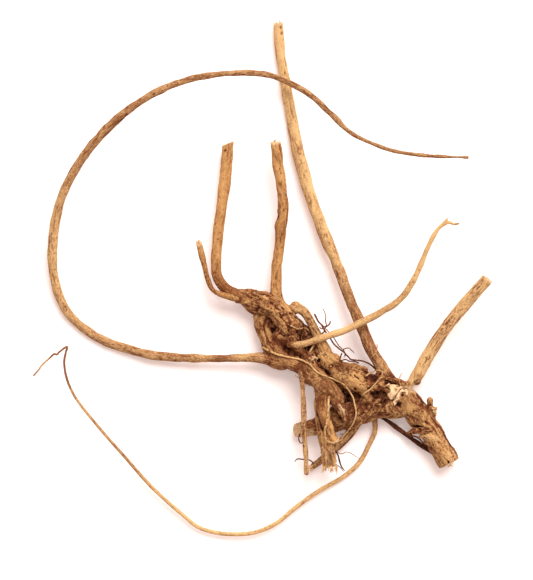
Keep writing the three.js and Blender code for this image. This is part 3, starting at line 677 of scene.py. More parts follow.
def barkMaterial(name, finish):
    material, shader = newMaterial(name, {"Specular IOR Level": barkSurface["specular"]})
    tree = material.node_tree
    grain = addNode(tree, "ShaderNodeGroup", {
        "Place": readField(tree, "barkPlace", "Vector"), "Share": readField(tree, "grain"),
        **{key: finish[key] for key in ("Length", "Width", "Streaks", "Speckles", "Flecks")},
    }, node_tree=grainGroup).outputs
    tint = addNode(tree, "ShaderNodeGroup", {
        "Tone": readField(tree, "tone"), "Crease": readField(tree, "crease"), "Pit": readField(tree, "pit"),
        "Pale": readField(tree, "pale"), "Swing": grain["Swing"], "Fleck": grain["Fleck"],
        **{key: finish[key] for key in ("StainAndShade", "Deep", "Middle", "Light", "Torn")},
    }, node_tree=tintGroup).outputs
    bump = addNode(tree, "ShaderNodeBump", {
        "Strength": finish["Bump"], "Distance": barkSurface["bumpDistance"], "Height": grain["Height"],
    })
    tree.links.new(bump.outputs["Normal"], shader.inputs["Normal"])
    tree.links.new(tint["Color"], shader.inputs["Base Color"])
    tree.links.new(tint["Roughness"], shader.inputs["Roughness"])
    return material


# Finishes: what the grain and tint groups are given, and how strong the bump is. The deep colour, used in
# creases, stands partly for painted shade.
rootFinish = {
    "Length": 1.3, "Width": 0.34, "Streaks": 1.5, "Speckles": 1.2, "Flecks": 0.25, "StainAndShade": 1.4, "Bump": 0.6,
    "Deep": (0.055, 0.0145, 0.0045, 1), "Middle": (0.235, 0.0915, 0.0355, 1),
    "Light": (0.71, 0.448, 0.197, 1), "Torn": (0.7, 0.46, 0.245, 1),
}
crownFinish = {
    **rootFinish, "Length": 2.0, "Width": 0.45, "Streaks": 1.6, "Speckles": 1.3, "Flecks": 0.06,
    "StainAndShade": 1.5, "Bump": 0.8, "Deep": (0.03, 0.0062, 0.0022, 1), "Middle": (0.16, 0.0435, 0.0152, 1),
    "Light": (0.61, 0.343, 0.13, 1),
}
darkFinish = {
    **rootFinish, "Length": 2.0, "Width": 0.3, "Streaks": 1.2, "Speckles": 0.8, "Flecks": 0.5, "Bump": 0.4,
    "Deep": (0.018, 0.0045, 0.0022, 1), "Middle": (0.07, 0.0175, 0.0068, 1), "Light": (0.25, 0.09, 0.034, 1),
}
rootBark = barkMaterial("rootBark", rootFinish)
crownBark = barkMaterial("crownBark", crownFinish)
tornWood = barkMaterial("tornWood", {**crownFinish, "Torn": (0.82, 0.57, 0.34, 1)})
goldBark = barkMaterial("goldBark", {
    **rootFinish, "Streaks": 1.2, "Speckles": 1.0, "Flecks": 0.2, "StainAndShade": 1.3,
    "Deep": (0.05, 0.0125, 0.004, 1), "Middle": (0.2, 0.068, 0.021, 1), "Light": (0.68, 0.375, 0.137, 1),
})
darkBark = barkMaterial("darkBark", darkFinish)
greyBark = barkMaterial("greyBark", {
    **darkFinish, "Streaks": 1.6, "Speckles": 1.0, "Flecks": 0.4, "Torn": (0.42, 0.25, 0.135, 1),
    "Deep": (0.05, 0.02, 0.01, 1), "Middle": (0.19, 0.085, 0.042, 1), "Light": (0.5, 0.3, 0.165, 1),
})
print("materials made")


# Roots: one style for each, over shared bark values. Its scars are given as the distance from the tip, the
# angle around the root, the reach and the depth.
barkStyle = {
    "furrowWidth": 0.9, "furrowLength": 9.0, "furrow": 0.11, "ridge": 0.14, "fibre": 0.04, "wander": 0.5,
    "pit": 0.14, "pitLength": 1.5, "pitWidth": 0.8, "pitFrom": 0.43, "lump": 0.26, "lumpLength": 6.0,
    "grit": 0.05, "gnarl": 0.0, "toneAlong": [(0, 0)], "ringStep": 0.36, "sideStep": 0.3, "twist": 0.02,
    "tone": 0.6, "toneSwing": 0.5, "tip": "cut", "jag": 0.4, "paleEnd": 0.6, "swell": swell["root"],
    "lines": 1.0, "grain": 1.0, "spots": 1.0, "slant": 0.0, "scars": [],
}
tipSteps = {"cut": (0.97, 0.86, 0.66, 0.42, 0.16), "point": (0.9, 0.65, 0.3)}
# What all roots share: how far apart their bark patterns lie, the size of patches of tone, how far the base
# is drawn in, and the shape of a broken end and of its face.
rootForm = {
    "patternGap": 31.0, "tonePatch": [9, 3.5, 3.5], "baseDrawn": 0.96, "leastSides": 6, "breakCells": 1.6,
    "breakRise": 1.6, "breakLow": 0.2, "breakReach": 2.2, "paleRagged": 0.8, "faceRelief": 0.12,
    "faceCell": 1.3, "faceGrain": 3.0,
}


# The rings and fields of one root.
def rootRings(route, seed, **changes):
    style = {**barkStyle, **changes}
    form = rootForm
    points, radii, along = followRoute(route, style["ringStep"])
    forward, over, side = carriedFrames(points)
    sides = int(max(form["leastSides"], round(2 * math.pi * radii.mean() / style["sideStep"])))
    outward, angle = ringWays(over, side, sides)
    turned = angle[None, :] + style["twist"] * along[:, None]
    radius = np.repeat(radii[:, None], sides, axis=1)
    lengths = np.repeat(along[:, None], sides, axis=1)
    space = np.stack([lengths, radius * np.cos(turned), radius * np.sin(turned)], axis=-1)
    space += seed * form["patternGap"]
    height, crease, pit = barkRelief(space.reshape(-1, 3), radius.ravel(), style, seed)
    height, crease, pit = (values.reshape(radius.shape) for values in (height, crease, pit))
    left = along[-1] - along
    for place, turn, reach, depth in style["scars"]:
        aside = radius * np.angle(np.exp(1j * (angle - turn)))
        share = np.exp(-((left[:, None] - place) ** 2 + aside ** 2) / reach ** 2)
        height = height - depth * share
        # A sunken scar is darkened as well, as painted shade in its hollow.
        crease = np.maximum(crease, share * (depth > 0))
    surface = points[:, None] + outward * radius[..., None]
    rings = surface + outward * (swellOf(surface, radius, style["swell"]) + height)[..., None]
    start = np.clip(along / radii[0], 0, 1)
    drawnIn = form["baseDrawn"] * (1 - np.sqrt(1 - (1 - start) ** 2))  # a round base
    rings -= outward * (radius * drawnIn[:, None])[..., None]

    # The tip: a broken edge of uneven length, then a face of shrinking rings.
    cut = style["tip"] == "cut"
    around = form["breakCells"] * np.column_stack([np.cos(angle), np.sin(angle)])
    ragged = cellNoise(np.column_stack([around, np.full(sides, seed)]), seed)
    jag = style["jag"] * (ragged * form["breakRise"] - form["breakLow"]) + style["slant"] * np.sin(angle)
    pull = smoothStep(-left, -form["breakReach"] * radii[-1], 0) * radii[-1]
    rings += forward[:, None] * (pull[:, None] * jag[None, :])[..., None]
    edge = form["paleRagged"] * ragged[None, :] - left[:, None]
    patches = layeredNoise(space.reshape(-1, 3) / form["tonePatch"], 3, seed + 51).reshape(radius.shape)
    toneAlong = np.interp(along, *np.array(style["toneAlong"], float).T)
    fields = {
        "barkPlace": space, "crease": crease, "pit": pit,
        "pale": cut * smoothStep(edge, -style["paleEnd"], 0),
        "grain": style["grain"] * np.ones_like(radius),
        "tone": style["tone"] + style["toneSwing"] * patches + toneAlong[:, None],
    }
    steps = tipSteps[style["tip"]]
    middle = rings[-1].mean(0)
    rough = cellNoise(rings[-1] * form["faceCell"], seed + 61)
    extra = []
    for share in steps:
        push = form["faceRelief"] * (1 - share + rough * share) if cut else math.sqrt(1 - share ** 2)
        push = np.reshape(push * radii[-1], (-1, 1))
        extra.append(middle + (rings[-1] - middle) * share + forward[-1] * push)
    rings = np.concatenate([rings, np.array(extra)])
    for field, values in fields.items():
        more = np.repeat(values[-1:], len(steps), axis=0)
        if cut and field in ("crease", "pit", "pale"):
            more[:] = field == "pale"
        if field == "barkPlace":
            more += np.array(steps)[:, None, None] * form["faceGrain"]
        fields[field] = np.concatenate([values, more])
    return rings, fields


def makeRoot(name, route, seed, material=rootBark, **changes):
    return finishPiece(bundlePiece(name, [rootRings(route, seed, **changes)], material))


longRoots = [
    makeRoot(
        "arcRoot", arcRoute, 1, tone=0.7, toneSwing=0.3, tip="point", furrow=0.05, ringStep=0.4, lump=0.12,
        lines=0.6, spots=0.5,
        # From about 50 to 85 mm along, the darker tone is partly painted shadow of sticks that lay over the
        # arc.
        toneAlong=[
            (0, -0.6), (5, -0.5), (15, -0.2), (20, -0.15), (27, -0.6), (36, -0.05), (43, -0.4), (50, -0.25),
            (85, -0.25), (92, -0.1), (110, 0), (138, 0), (148, -0.25), (175, -0.4), (215, -0.3), (240, -0.3),
            (300, -0.35), (330, -0.3),
        ],
    ),
    makeRoot(
        "straightRoot", straightRoute, 2, tone=0.86, toneSwing=0.6, jag=0.7, paleEnd=1.6, furrow=0.06,
        lump=0.18, lines=0.6, spots=0.4, pitFrom=0.47,
        toneAlong=[
            (0, -0.4), (12, -0.5), (20, -0.72), (30, -0.6), (44, -0.6), (57, -0.2), (80, -0.1), (84, -0.1),
            (90, 0), (103, 0), (108, -0.3), (114, 0), (130, 0.15),
        ],
        scars=[(1.6, 0.65, 0.6, 0.5), (4, 0.7, 0.6, 0.5), (6.4, 1.2, 0.4, 0.3)],
    ),
    makeRoot(
        "shoestringRoot", shoestringRoute, 3, tone=0.86, toneSwing=0.3, tip="point", ringStep=0.45, swell=0,
        lines=0.5, spots=0.3,
        toneAlong=[
            (0, -0.35), (18, -0.3), (26, 0), (60, 0.05), (118, 0), (126, -0.3), (156, -0.4), (161, -0.1),
            (168, -0.1), (172, -0.5), (178, -0.8), (199, -0.8), (202, -0.2), (206, -0.2), (208, -0.7),
        ],
    ),
    makeRoot(
        "upperRightRoot", upperRightRoute, 4, tone=0.8, toneSwing=0.4, fibre=0.2, furrowWidth=0.5,
        furrowLength=9, furrow=0.08, lump=0.1, swell=0.04, pitFrom=0.5, lines=0.8, spots=0.4, grit=0.12,
        grain=1.5,
        toneAlong=[(0, 0.6), (6, 0.45), (12, 0.25), (18, -0.05), (26, -0.2), (34, -0.05), (44, 0.05)],
    ),
    makeRoot(
        "upperRightStrip", upperRightStrip, 5, tone=0.95, fibre=0.08, spots=0.4, lines=0.5,
        toneAlong=[(0, 0.1), (12, 0.1), (15, -0.4)],
    ),
    makeRoot(
        "curlyRoot", curlyRoute, 6, tone=0.94, toneSwing=0.35, furrow=0.03, ridge=0.08, pit=0.05,
        tip="point", lump=0.25, lines=0.4, spots=0.3,
        toneAlong=[
            (0, -0.5), (5, -0.3), (16, -0.3), (22, 0.05), (30, 0), (36, -0.25), (48, -0.3), (54, -0.1),
            (60, 0.1), (66, 0.35), (70, 0), (76, 0.1), (84, 0.2),
        ],
        scars=[
            (22.4, 0.5, 0.34, 0.3), (25, -0.3, 0.34, 0.3), (27.6, 0.3, 0.4, 0.35), (29.4, -0.1, 0.3, 0.3),
        ],
    ),
    makeRoot(
        "curlyForkLeft", curlyForks[0], 7, tone=1.05, swell=0, jag=1.2, paleEnd=1.4, spots=0.2, lines=0.4,
    ),
    makeRoot(
        "curlyForkRight", curlyForks[1], 8, tone=0.9, tip="point", swell=0, spots=0.2, lines=0.4,
        toneAlong=[(0, 0.1), (4.4, 0), (5.6, -0.6)],
    ),
    makeRoot(
        "uprightRoot", uprightRoute, 9, goldBark, tone=0.6, toneSwing=0.25, paleEnd=0.3, lump=0.15,
        furrow=0.06, lines=0.5, spots=0.4, jag=0.1, slant=0.5,
        toneAlong=[(0, -0.6), (14, -0.5), (20, -0.35), (27, 0), (80, 0.08)], scars=[(2.6, -0.45, 0.6, 0.4)],
    ),
    makeRoot(
        "brokenTwig", twigRoute, 10, goldBark, tone=0.45, toneSwing=0.4, jag=1.0, paleEnd=2.2, spots=0.5,
        lines=0.7,
    ),
    makeRoot(
        "knobbyRoot", knobbyRoute, 11, goldBark, tone=0.54, toneSwing=0.35, jag=0.5, paleEnd=1.2, lump=0.5,
        lines=0.6, spots=0.5, toneAlong=[(0, 0), (22, 0.1), (31, -0.28), (38, -0.1), (50, 0.08), (64, 0.16)],
        scars=[(34, -1.5, 2.2, -0.55), (30.6, -1.3, 0.7, 0.35), (28, -1.5, 1.6, -0.5)],
    ),
    makeRoot("bridgeRoot", bridgeRoute, 12, tone=0.62, furrow=0.05, ridge=0.08),
    makeRoot("hangingRoot", hangingRoute, 13, tone=0.58, tip="point"),
    makeRoot("underBranch", underRoute, 14, tone=0.48, jag=1.0, paleEnd=1.8),
    makeRoot("darkString", darkRoute, 15, tone=0.2, material=darkBark, tip="point"),
    makeRoot(
        "paleFinger", wedge, 16, goldBark, tone=0.6, toneSwing=0.8, furrow=0.05, ridge=0.08, fibre=0.1,
        pit=0.06, spots=0.5, lines=0.7, lump=0.4, jag=0.5, paleEnd=0.5,
        toneAlong=[(0, -0.5), (3, -0.3), (7, 0), (20, 0.1)],
    ),
    makeRoot(
        "barkFlake", barkFlake, 17, crownBark, tone=0.4, toneSwing=0.9, grain=1.8, tip="point", lump=1.3,
        lumpLength=2, pit=0.4, pitFrom=0.3, furrow=0.1, sideStep=0.24, ringStep=0.24,
        toneAlong=[(0, -0.6), (2.5, -0.3), (5, 0)],
    ),
    makeRoot(
        "sideSpur", sideSpur, 18, tone=0.62, tip="point", lump=0.5, lumpLength=3, furrow=0.05, pit=0.08,
        sideStep=0.24, ringStep=0.24,
    ),
]
print("roots made:", len(longRoots))


# The crown: limbs, burls and the bases of the roots, grown into one skin.
crown = {
    "voxel": 0.34, "melt": 4, "limbStep": 0.6, "atOnce": 20000, "blend": 0.9, "leastShare": 0.04,
    "patternGap": 23.0, "seed": 70, "gnarlSize": 5.2, "gnarlLayers": 4, "gnarlShrink": 0.54,
    "gnarlFade": 0.44, "gnarlSeed": 91, "gnarlWarp": 1.6, "warpSize": 5, "knob": 2.4, "knobLow": 0.5,
}
# Sides, step and swelling of the bars that the skin is grown around.
bars = {
    "stub": (30, 0.8, 0.4 * swell["crown"]), "stubHollow": (20, 0.8, 0),
    "stump": (36, 0.8, 0.4 * swell["crown"]), "thick": (36, 0.8, swell["crown"]),
    "slim": (16, 0.6, 0.2 * swell["crown"]), "collar": (24, 0.8, swell["root"]),
}
# A collar thins along its length, so that bark runs from the crown to the root.
collar = {"step": 1.0, "at": [0, 0.45, 1], "thickness": [1.04, 1.03, 0.72], "roundFrom": 0.1}


def plainBar(route, sides, step, push):
    points, radii, along = followRoute(route, step)
    forward, over, side = carriedFrames(points)
    outward, angle = ringWays(over, side, sides)
    surface = points[:, None] + outward * radii[:, None, None]
    rings = surface + outward * swellOf(surface, radii[:, None], push)[..., None]
    return bundlePiece("bar", [(rings, {})], crownBark)


def plainBurl(centre, half, turn):
    bpy.ops.mesh.primitive_ico_sphere_add(subdivisions=4, radius=1)
    lump = bpy.context.object
    points = np.array([v.co for v in lump.data.vertices]) * half
    turn = math.radians(turn)
    spin = np.array([[math.cos(turn), math.sin(turn), 0], [-math.sin(turn), math.cos(turn), 0], [0, 0, 1]])
    points = points @ spin + centre
    points += unit(points - centre) * (swell["crown"] * swellAt(points))[:, None]
    lump.data.vertices.foreach_set("co", (points * mm).ravel())
    return lump


def appliedMesh(piece):
    evaluated = piece.evaluated_get(bpy.context.evaluated_depsgraph_get())
    return bpy.data.meshes.new_from_object(evaluated)


def removePieces(pieces):
    for piece in pieces:
        mesh = piece.data
        bpy.data.objects.remove(piece)
        bpy.data.meshes.remove(mesh)


# A root's first stretch, thinning into the root itself.
def collarOf(route, length):
    points, radii, along = followRoute(route, collar["step"])
    keep = along < length
    thin = np.interp(along[keep] / length, collar["at"], collar["thickness"])
    thin *= np.sqrt(1 - (1 - np.clip(along[keep] / radii[0], collar["roundFrom"], 1)) ** 2)
    return np.column_stack([points[keep], radii[keep] * thin]).tolist()


# Collars: the root's route, the collar's length and its tone.
collarLengths = [
    (arcRoute, 20, 0.3), (straightRoute, 22, 0.25), (shoestringRoute, 9, 0.6), (upperRightRoute, 8, 0.85),
    (upperRightStrip, 14, 0.8), (curlyRoute, 6, 0.3), (uprightRoute, 18, 0.2), (twigRoute, 9, 0.2),
    (knobbyRoute, 14, 0.3), (bridgeRoute[:3], 8, 0.5), (bridgeRoute[:1:-1], 8, 0.55), (hangingRoute, 8, 0.3),
    (underRoute, 12, 0.2), (darkRoute, 5, 0.0),
]
collars = [collarOf(route, length) for route, length, tone in collarLengths]

stub = plainBar(frayedStub, *bars["stub"])
hollow = plainBar(stubHollow, *bars["stubHollow"])
cut = stub.modifiers.new("hollow", "BOOLEAN")
cut.operation = "DIFFERENCE"
cut.solver = "MANIFOLD"
cut.object = hollow
openStub = addObject("openStub", appliedMesh(stub))
removePieces([stub, hollow])

parts = [openStub, plainBar(stump, *bars["stump"])]
for kind, routes in (
    ("thick", [knottyBranch, vTrunk, head, headArm]),
    ("slim", [rim, nub, nubLobe, nubStrip, vTip, *shadeWebs]),
    ("collar", collars),
):
    parts += [plainBar(route, *bars[kind]) for route in routes]
parts += [plainBurl(*burl) for burl in burls]
bpy.ops.object.select_all(action="DESELECT")
for part in parts:
    part.select_set(True)
bpy.context.view_layer.objects.active = openStub
bpy.ops.object.join()
remesh = openStub.modifiers.new("skin", "REMESH")
remesh.mode = "VOXEL"
remesh.voxel_size = crown["voxel"] * mm
skin = appliedMesh(openStub)
bpy.data.objects.remove(openStub)
print("crown skin:", len(skin.vertices), "points")

crownPoints = np.zeros(len(skin.vertices) * 3, np.float32)
skin.vertices.foreach_get("co", crownPoints)
crownPoints = crownPoints.reshape(-1, 3).astype(float) / mm
edges = np.zeros(len(skin.edges) * 2, np.int32)
skin.edges.foreach_get("vertices", edges)
edges = edges.reshape(-1, 2)
crownFaces = [tuple(face.vertices) for face in skin.polygons]


# Each point moved to the mean of its neighbours, some times over.
def meltPoints(points, rounds):
    first, second = np.concatenate([edges, edges[:, ::-1]]).T
    count = np.bincount(first, minlength=len(points))[:, None]
    for turn in range(rounds):
        near = [np.bincount(first, points[second, axis], len(points)) for axis in range(3)]
        points = 0.5 * points + 0.5 * np.column_stack(near) / np.maximum(count, 1)
    return points


def pointNormals(points):
    quads = np.array([face if len(face) == 4 else (*face, face[2]) for face in crownFaces])
    across = np.cross(points[quads[:, 2]] - points[quads[:, 0]], points[quads[:, 3]] - points[quads[:, 1]])
    total = np.zeros_like(points)
    for axis in range(3):
        for corner in range(4):
            total[:, axis] += np.bincount(quads[:, corner], weights=across[:, axis], minlength=len(points))
    return unit(total)


# Bark of each limb; mottle and blotch are patches of tone, and shortGrain makes streaks shorter.
crownStyle = {
    **barkStyle, "furrowWidth": 1.5, "furrowLength": 17.0, "furrow": 0.2, "ridge": 0.18, "fibre": 0.09,
    "wander": 0.42, "pit": 0.3, "pitLength": 2.0, "pitWidth": 1.1, "pitFrom": 0.45, "lump": 0.45,
    "grit": 0.09, "tone": 0.4, "gnarl": 0.6, "shortGrain": 1.0, "mottle": 0.2, "blotch": 0.8,
}
crownLimbs = [
    (stump[:5], dict(
        furrowWidth=1.1, furrow=0.06, ridge=0.1, fibre=0.08, pitFrom=0.42, pit=0.1, spots=0.35, lump=0.3,
        lines=0.35, grain=1.4, tone=0.5, gnarl=0.12, shortGrain=1.5, mottle=0.38, blotch=0.35,
    )),
    (stump[4:9], dict(
        furrowWidth=0.8, furrowLength=3, furrow=0.1, ridge=0.14, fibre=0.05, pit=0.14, spots=0.3, lump=0.4,
        lines=0.4, grain=1.1, tone=0.54, gnarl=0.26, shortGrain=2.6, mottle=0.4, blotch=0.6,
    )),
    (stump[8:], dict(
        furrowWidth=1, furrowLength=6, furrow=0.08, ridge=0.1, fibre=0.08, pit=0.1, spots=0.3, lines=0.4,
        grain=1.2, tone=0.46, gnarl=0.2, shortGrain=1.8, mottle=0.25,
    )),
    (knottyBranch, dict(
        furrowWidth=1.3, furrowLength=6, furrow=0.08, ridge=0.2, fibre=0.07, lines=0.3, pit=0.1, spots=0.15,
        tone=0.44, grain=1.1, gnarl=0.34, shortGrain=1.6, mottle=0.24, blotch=0.5,
    )),
    (vTrunk, dict(
        furrowWidth=0.8, furrow=0.07, ridge=0.08, fibre=0.14, pit=0.03, spots=0.1, lump=0.25, lines=0.28,
        grain=0.8, tone=0.34, gnarl=0.05, shortGrain=0.6, blotch=0.15,
    )),
    (vTip, dict(
        furrowWidth=0.8, furrow=0.07, ridge=0.06, fibre=0.14, pit=0.03, spots=0.1, lines=0.35, grain=0.8,
        tone=0.34, gnarl=0.04, shortGrain=0.6, blotch=0.3,
    )),
    (frayedStub, dict(
        furrowWidth=0.8, furrow=0.12, ridge=0.14, fibre=0.2, lines=0.5, grain=0.9, spots=0.2, tone=0.68,
        gnarl=0.08, shortGrain=0.7, blotch=0.4,
    )),
    (head, dict(furrow=0.2, fibre=0.15, lines=0.6, tone=0.42, gnarl=0.55)),
    (headArm, dict(furrow=0.1, fibre=0.1, lines=0.5, tone=0.4, gnarl=0.34, shortGrain=1.6)),
    (rim, dict(furrow=0.2, tone=0.36, gnarl=0.35)),
    (nub, dict(furrow=0.08, ridge=0.08, lines=0.5, tone=0.55, gnarl=0.12, shortGrain=2, mottle=0.35)),
    (nubLobe, dict(furrow=0.08, ridge=0.1, tone=0.75, gnarl=0.3, shortGrain=2)),
    (nubStrip, dict(furrow=0.08, ridge=0.1, tone=0.65, gnarl=0.4, shortGrain=2)),
]
# The webs get a dark tone: painted shade in the gaps between limbs.
crownLimbs += [(route, dict(fibre=0.22, furrow=0.4, tone=-0.3, gnarl=0.8)) for route in shadeWebs]
allLimbs = [(route, {**crownStyle, **changes}) for route, changes in crownLimbs]
for route, (whole, length, tone) in zip(collars, collarLengths):
    allLimbs.append((route, {**crownStyle, **barkStyle, "tone": tone, "mottle": 0}))
limbValues = ("tone", "gnarl", "grain", "mottle", "blotch")


# Bark relief over the crown: each limb's own, blended where limbs meet.
def crownRelief(points):
    limbs = [(followRoute(route, crown["limbStep"]), style) for route, style in allLimbs]
    gaps = np.zeros((len(limbs), len(points)))
    nearest = np.zeros((len(limbs), len(points)), int)
    for i, ((path, radii, along), style) in enumerate(limbs):
        for start in range(0, len(points), crown["atOnce"]):
            part = slice(start, start + crown["atOnce"])
            away = np.linalg.norm(points[part, None] - path[None], axis=2)
            nearest[i, part] = away.argmin(1)
            gaps[i, part] = away.min(1) - radii[nearest[i, part]]
    closest = gaps.min(0)
    total = np.zeros(len(points))
    sums = {key: np.zeros(len(points)) for key in ("height", "crease", "pit", *limbValues)}
    best = np.full(len(points), -1.0)
    place = np.zeros((len(points), 3))
    for i, ((path, radii, along), style) in enumerate(limbs):
        share = np.exp(-(gaps[i] - closest) / crown["blend"])
        use = share > crown["leastShare"]
        forward, over, side = carriedFrames(path)
        spot = nearest[i, use]
        offset = points[use] - path[spot]
        space = np.column_stack([
            along[spot] + (offset * forward[spot]).sum(1),
            (offset * over[spot]).sum(1), (offset * side[spot]).sum(1),
        ]) + i * crown["patternGap"]
        height, crease, pit = barkRelief(space, radii[spot], style, crown["seed"] + i)
        given = {"height": height, "crease": crease, "pit": pit}
        given.update({key: style[key] for key in limbValues})
        for key, values in given.items():
            sums[key][use] += share[use] * values
        total[use] += share[use]
        better = share[use] > best[use]
        lead = np.flatnonzero(use)[better]
        place[lead] = space[better] * [style["shortGrain"], 1, 1]
        best[lead] = share[lead]
    return {key: values / total for key, values in sums.items()}, place


# What is seen on the crown's upper side, in mm.
# Shades: x, y, reach, change of tone, change of gnarl. Most are the wood's own lighter and darker patches;
# the darkest, in hollows and on the lower side of the V trunk, are painted shade.
shades = [
    (-4, -3, 6, -0.25, 0.42), (0.5, 3.4, 4.4, -0.5, 0.4), (4.5, -3, 5, -0.1, 0.3), (7.6, -2.6, 2, -0.3, 0.2),
    (-12, -6, 5, -0.35, 0.45), (-14, -2, 4, -0.3, 0.4), (-21, -10, 6, -0.35, 0.45),
    (-29, -9.4, 3.4, -0.5, 0.4), (-5, 7.4, 2, -0.4, 0.25), (-10.8, 10.4, 1.7, 0.4, 0),
    (-7.6, 7.4, 1.6, 0.45, 0), (-20, 15.4, 1.8, 0.2, -0.2), (-15.4, 14, 2.4, -0.5, 0.1),
    (-11.4, 13, 2, -0.45, 0.1), (-14.4, 4.8, 1.2, 0.25, 0.1), (-23.8, 17.4, 1, 0.25, 0),
    (-21.6, 13.2, 0.9, 0.25, 0), (-24.4, 14.6, 1.2, -0.35, 0), (12, -2.4, 1.3, 0.4, -0.1),
    (-33, 10.4, 3, -0.35, 0), (20.4, -12.8, 1.3, 0.45, -0.1), (21.8, -15.4, 1.2, 0.4, -0.1),
    (16, -2, 2.6, -0.35, 0.1), (12.6, -8, 2, -0.2, 0.05), (14.6, 1.2, 2, -0.2, 0), (27.6, -21.4, 2, 0.2, 0),
    (20, -19.4, 2.4, -0.3, 0), (23.6, -23, 2.2, -0.2, 0), (-21.4, 17, 1.8, 0.2, 0),
    (-20.6, 3.2, 1.8, 0.2, 0), (-25.6, -5, 1.4, -0.4, 0), (-24.4, -11.6, 1.6, -0.35, 0),
    (-18.4, -20.4, 1.3, -0.5, 0), (-9, 8.4, 4.6, 0.2, -0.15), (-14.6, 11.4, 3.6, 0.18, -0.1),
    (-4.4, 10.6, 2.6, -0.5, 0.3), (-19.6, 12, 2.6, 0.14, 0), (-23, 18.6, 2.4, 0.2, -0.2),
    (11.8, -3, 1.8, 0.25, -0.3), (14.6, -7, 3, -0.08, 0.1), (21, -15, 2.2, 0.4, -0.2),
    (22.2, -17.4, 1.6, 0.3, -0.1), (11.8, -3.6, 1.4, 0.3, -0.1), (25.4, -22, 3, 0.24, 0),
    (17.6, 0.4, 2.2, -0.3, 0.1), (-30.6, 26.6, 4.6, -0.4, 0.3), (-28.4, 20, 3.2, -0.4, 0.3),
    (-41, 21, 3.6, -0.3, 0.2), (-48, 39, 6, -0.1, 0.2), (-23, 4, 3, -0.1, 0.1), (-20, 4, 2, -0.2, 0.1),
    (-6, 12, 2, -0.3, 0.2), (-2.5, 8.5, 1.7, -1.1, 0.2), (-0.9, 9.8, 0.9, -0.4, 0.1),
    (0.2, 5.5, 1.8, 0.45, -0.3), (-8.7, -1.4, 1.7, -0.45, 0.3), (-7.6, -3.6, 1.5, -0.4, 0.3),
    (0.8, -1.3, 1.4, -0.5, 0.2), (19.2, -3.4, 1.1, -0.4, 0.2), (20.4, -4.4, 1, -0.4, 0.2),
]
# Torn and rubbed spots where pale wood shows: x, y, reach, strength.
paleSpots = [
    (5.2, 4.2, 1.7, 0.6), (7.6, 2.6, 1.4, 0.6), (6, 0.6, 1, 0.5), (12.4, 4.4, 2, 0.8), (10, 4.6, 1.7, 0.9),
    (27.8, -22.6, 0.6, 0.6), (29, -22, 0.5, 0.6), (30, -23, 0.5, 0.5), (27.2, -20.8, 0.5, 0.5),
    (28.6, -20.6, 0.4, 0.6), (25, -25.4, 0.5, 0.6), (26.4, -24, 0.5, 0.6), (29.4, -20.9, 0.4, 0.7),
    (28.4, -23.6, 0.45, 0.6), (26.2, -22, 0.4, 0.5), (24.4, -23.4, 0.4, 0.5), (27.4, -25.2, 0.4, 0.6),
    (30.2, -22, 0.4, 0.6), (-26.8, 16.8, 1, 0.3),
]
# Dents and bumps: x, y, reach, depth (a bump's is negative). A dent is also darkened, as painted shade.
dents = [
    (-2, 1.9, 2.2, 1.3), (0.7, -0.8, 1.6, 1.1), (7.4, -1.6, 1.5, 1.0), (-3.2, 0, 1.1, 0.7),
    (-6, -2, 1.2, 0.7), (0.4, 4.6, 2, 1.2), (8.8, 2.1, 0.8, 0.5), (18.9, -9.1, 0.9, 0.3),
    (16.9, -4.5, 0.7, 0.2), (23.3, -16.9, 0.7, 0.5), (-24.8, 15.9, 0.6, 0.6), (-27.1, 15.5, 0.6, 0.6),
    (27.4, -24.9, 0.9, 1.1), (-6, 12, 1.3, -0.9), (21, -15, 1.6, -0.4), (-12.4, 15.5, 0.9, -0.6),
    (-8.5, 8.6, 2.2, -0.3), (-22.4, 17.8, 0.5, 0.4), (-30.5, 25, 2.6, 1.4), (-29, 20.6, 1.8, 1.1),
    (-12, -3.5, 2.0, 0.9), (17.2, 1, 0.9, 0.5), (-36, 29, 1.4, 0.8), (-39, 34, 1.6, 0.7),
    (-48, 37, 1.4, 0.7),
]
# Deep hollows, darkened as painted shade: x, y, reach, depth.
hollows = [
    (-1, 2.3, 1.2, 1.3), (1.2, 1.9, 1.3, 1.4), (2.6, 1.4, 0.9, 0.8), (1.6, -0.5, 1.1, 1),
    (6.8, -1.7, 0.9, 0.8), (-8.2, 6.2, 0.3, 0.7), (22.6, -16.6, 0.35, 0.6), (18.4, -8.8, 0.6, 0.45),
    (2.7, 6.9, 0.8, 0.8), (-30.4, 26.2, 2.6, 2.2), (-28.8, 21.2, 1.6, 1.4), (-27, 15.2, 0.6, 0.6),
    (-24.6, 15.9, 0.8, 0.9), (8.8, 2, 0.6, 0.25), (19.8, -1.8, 0.6, 0.5), (-2.6, 8.6, 1.2, 1.4),
]
# Slits, darkened as painted shade: x, y to x, y, half width, depth.
slits = [
    (-10.8, 10.6, -8.5, 8.7, 0.3, 0.6), (-10.8, 5.1, -9.8, 4.4, 0.3, 0.5),
    (-25.6, 15.2, -20.2, 10.4, 0.4, 0.7), (-7.6, 1.9, -2.9, 6, 0.4, 0.8), (12.6, -10.6, 19, -11.8, 0.7, 1.4),
    (2, 8, 8, 5.6, 0.3, 0.6), (-21, 0.6, -20.4, -3.4, 0.3, 0.5), (-25.7, 0.6, -24.9, -7, 0.35, 0.5),
    (-24.9, -7, -21.6, -14.4, 0.35, 0.4),
]
# Painted shade down the stump's right side, in a shallow groove along the edge of the bark: x, y to x, y,
# half width.
shadedEdges = [(14.4, 3.2, 17.4, -1.8, 0.45), (20.2, -6.6, 25.6, -13.4, 0.45), (25, -12.6, 30.6, -21.6, 0.45)]
# Ring-shaped scars: x, y, reach, width of the rim, its rise.
ringScars = [(-19.8, 13.8, 0.7, 0.26, -0.2)]
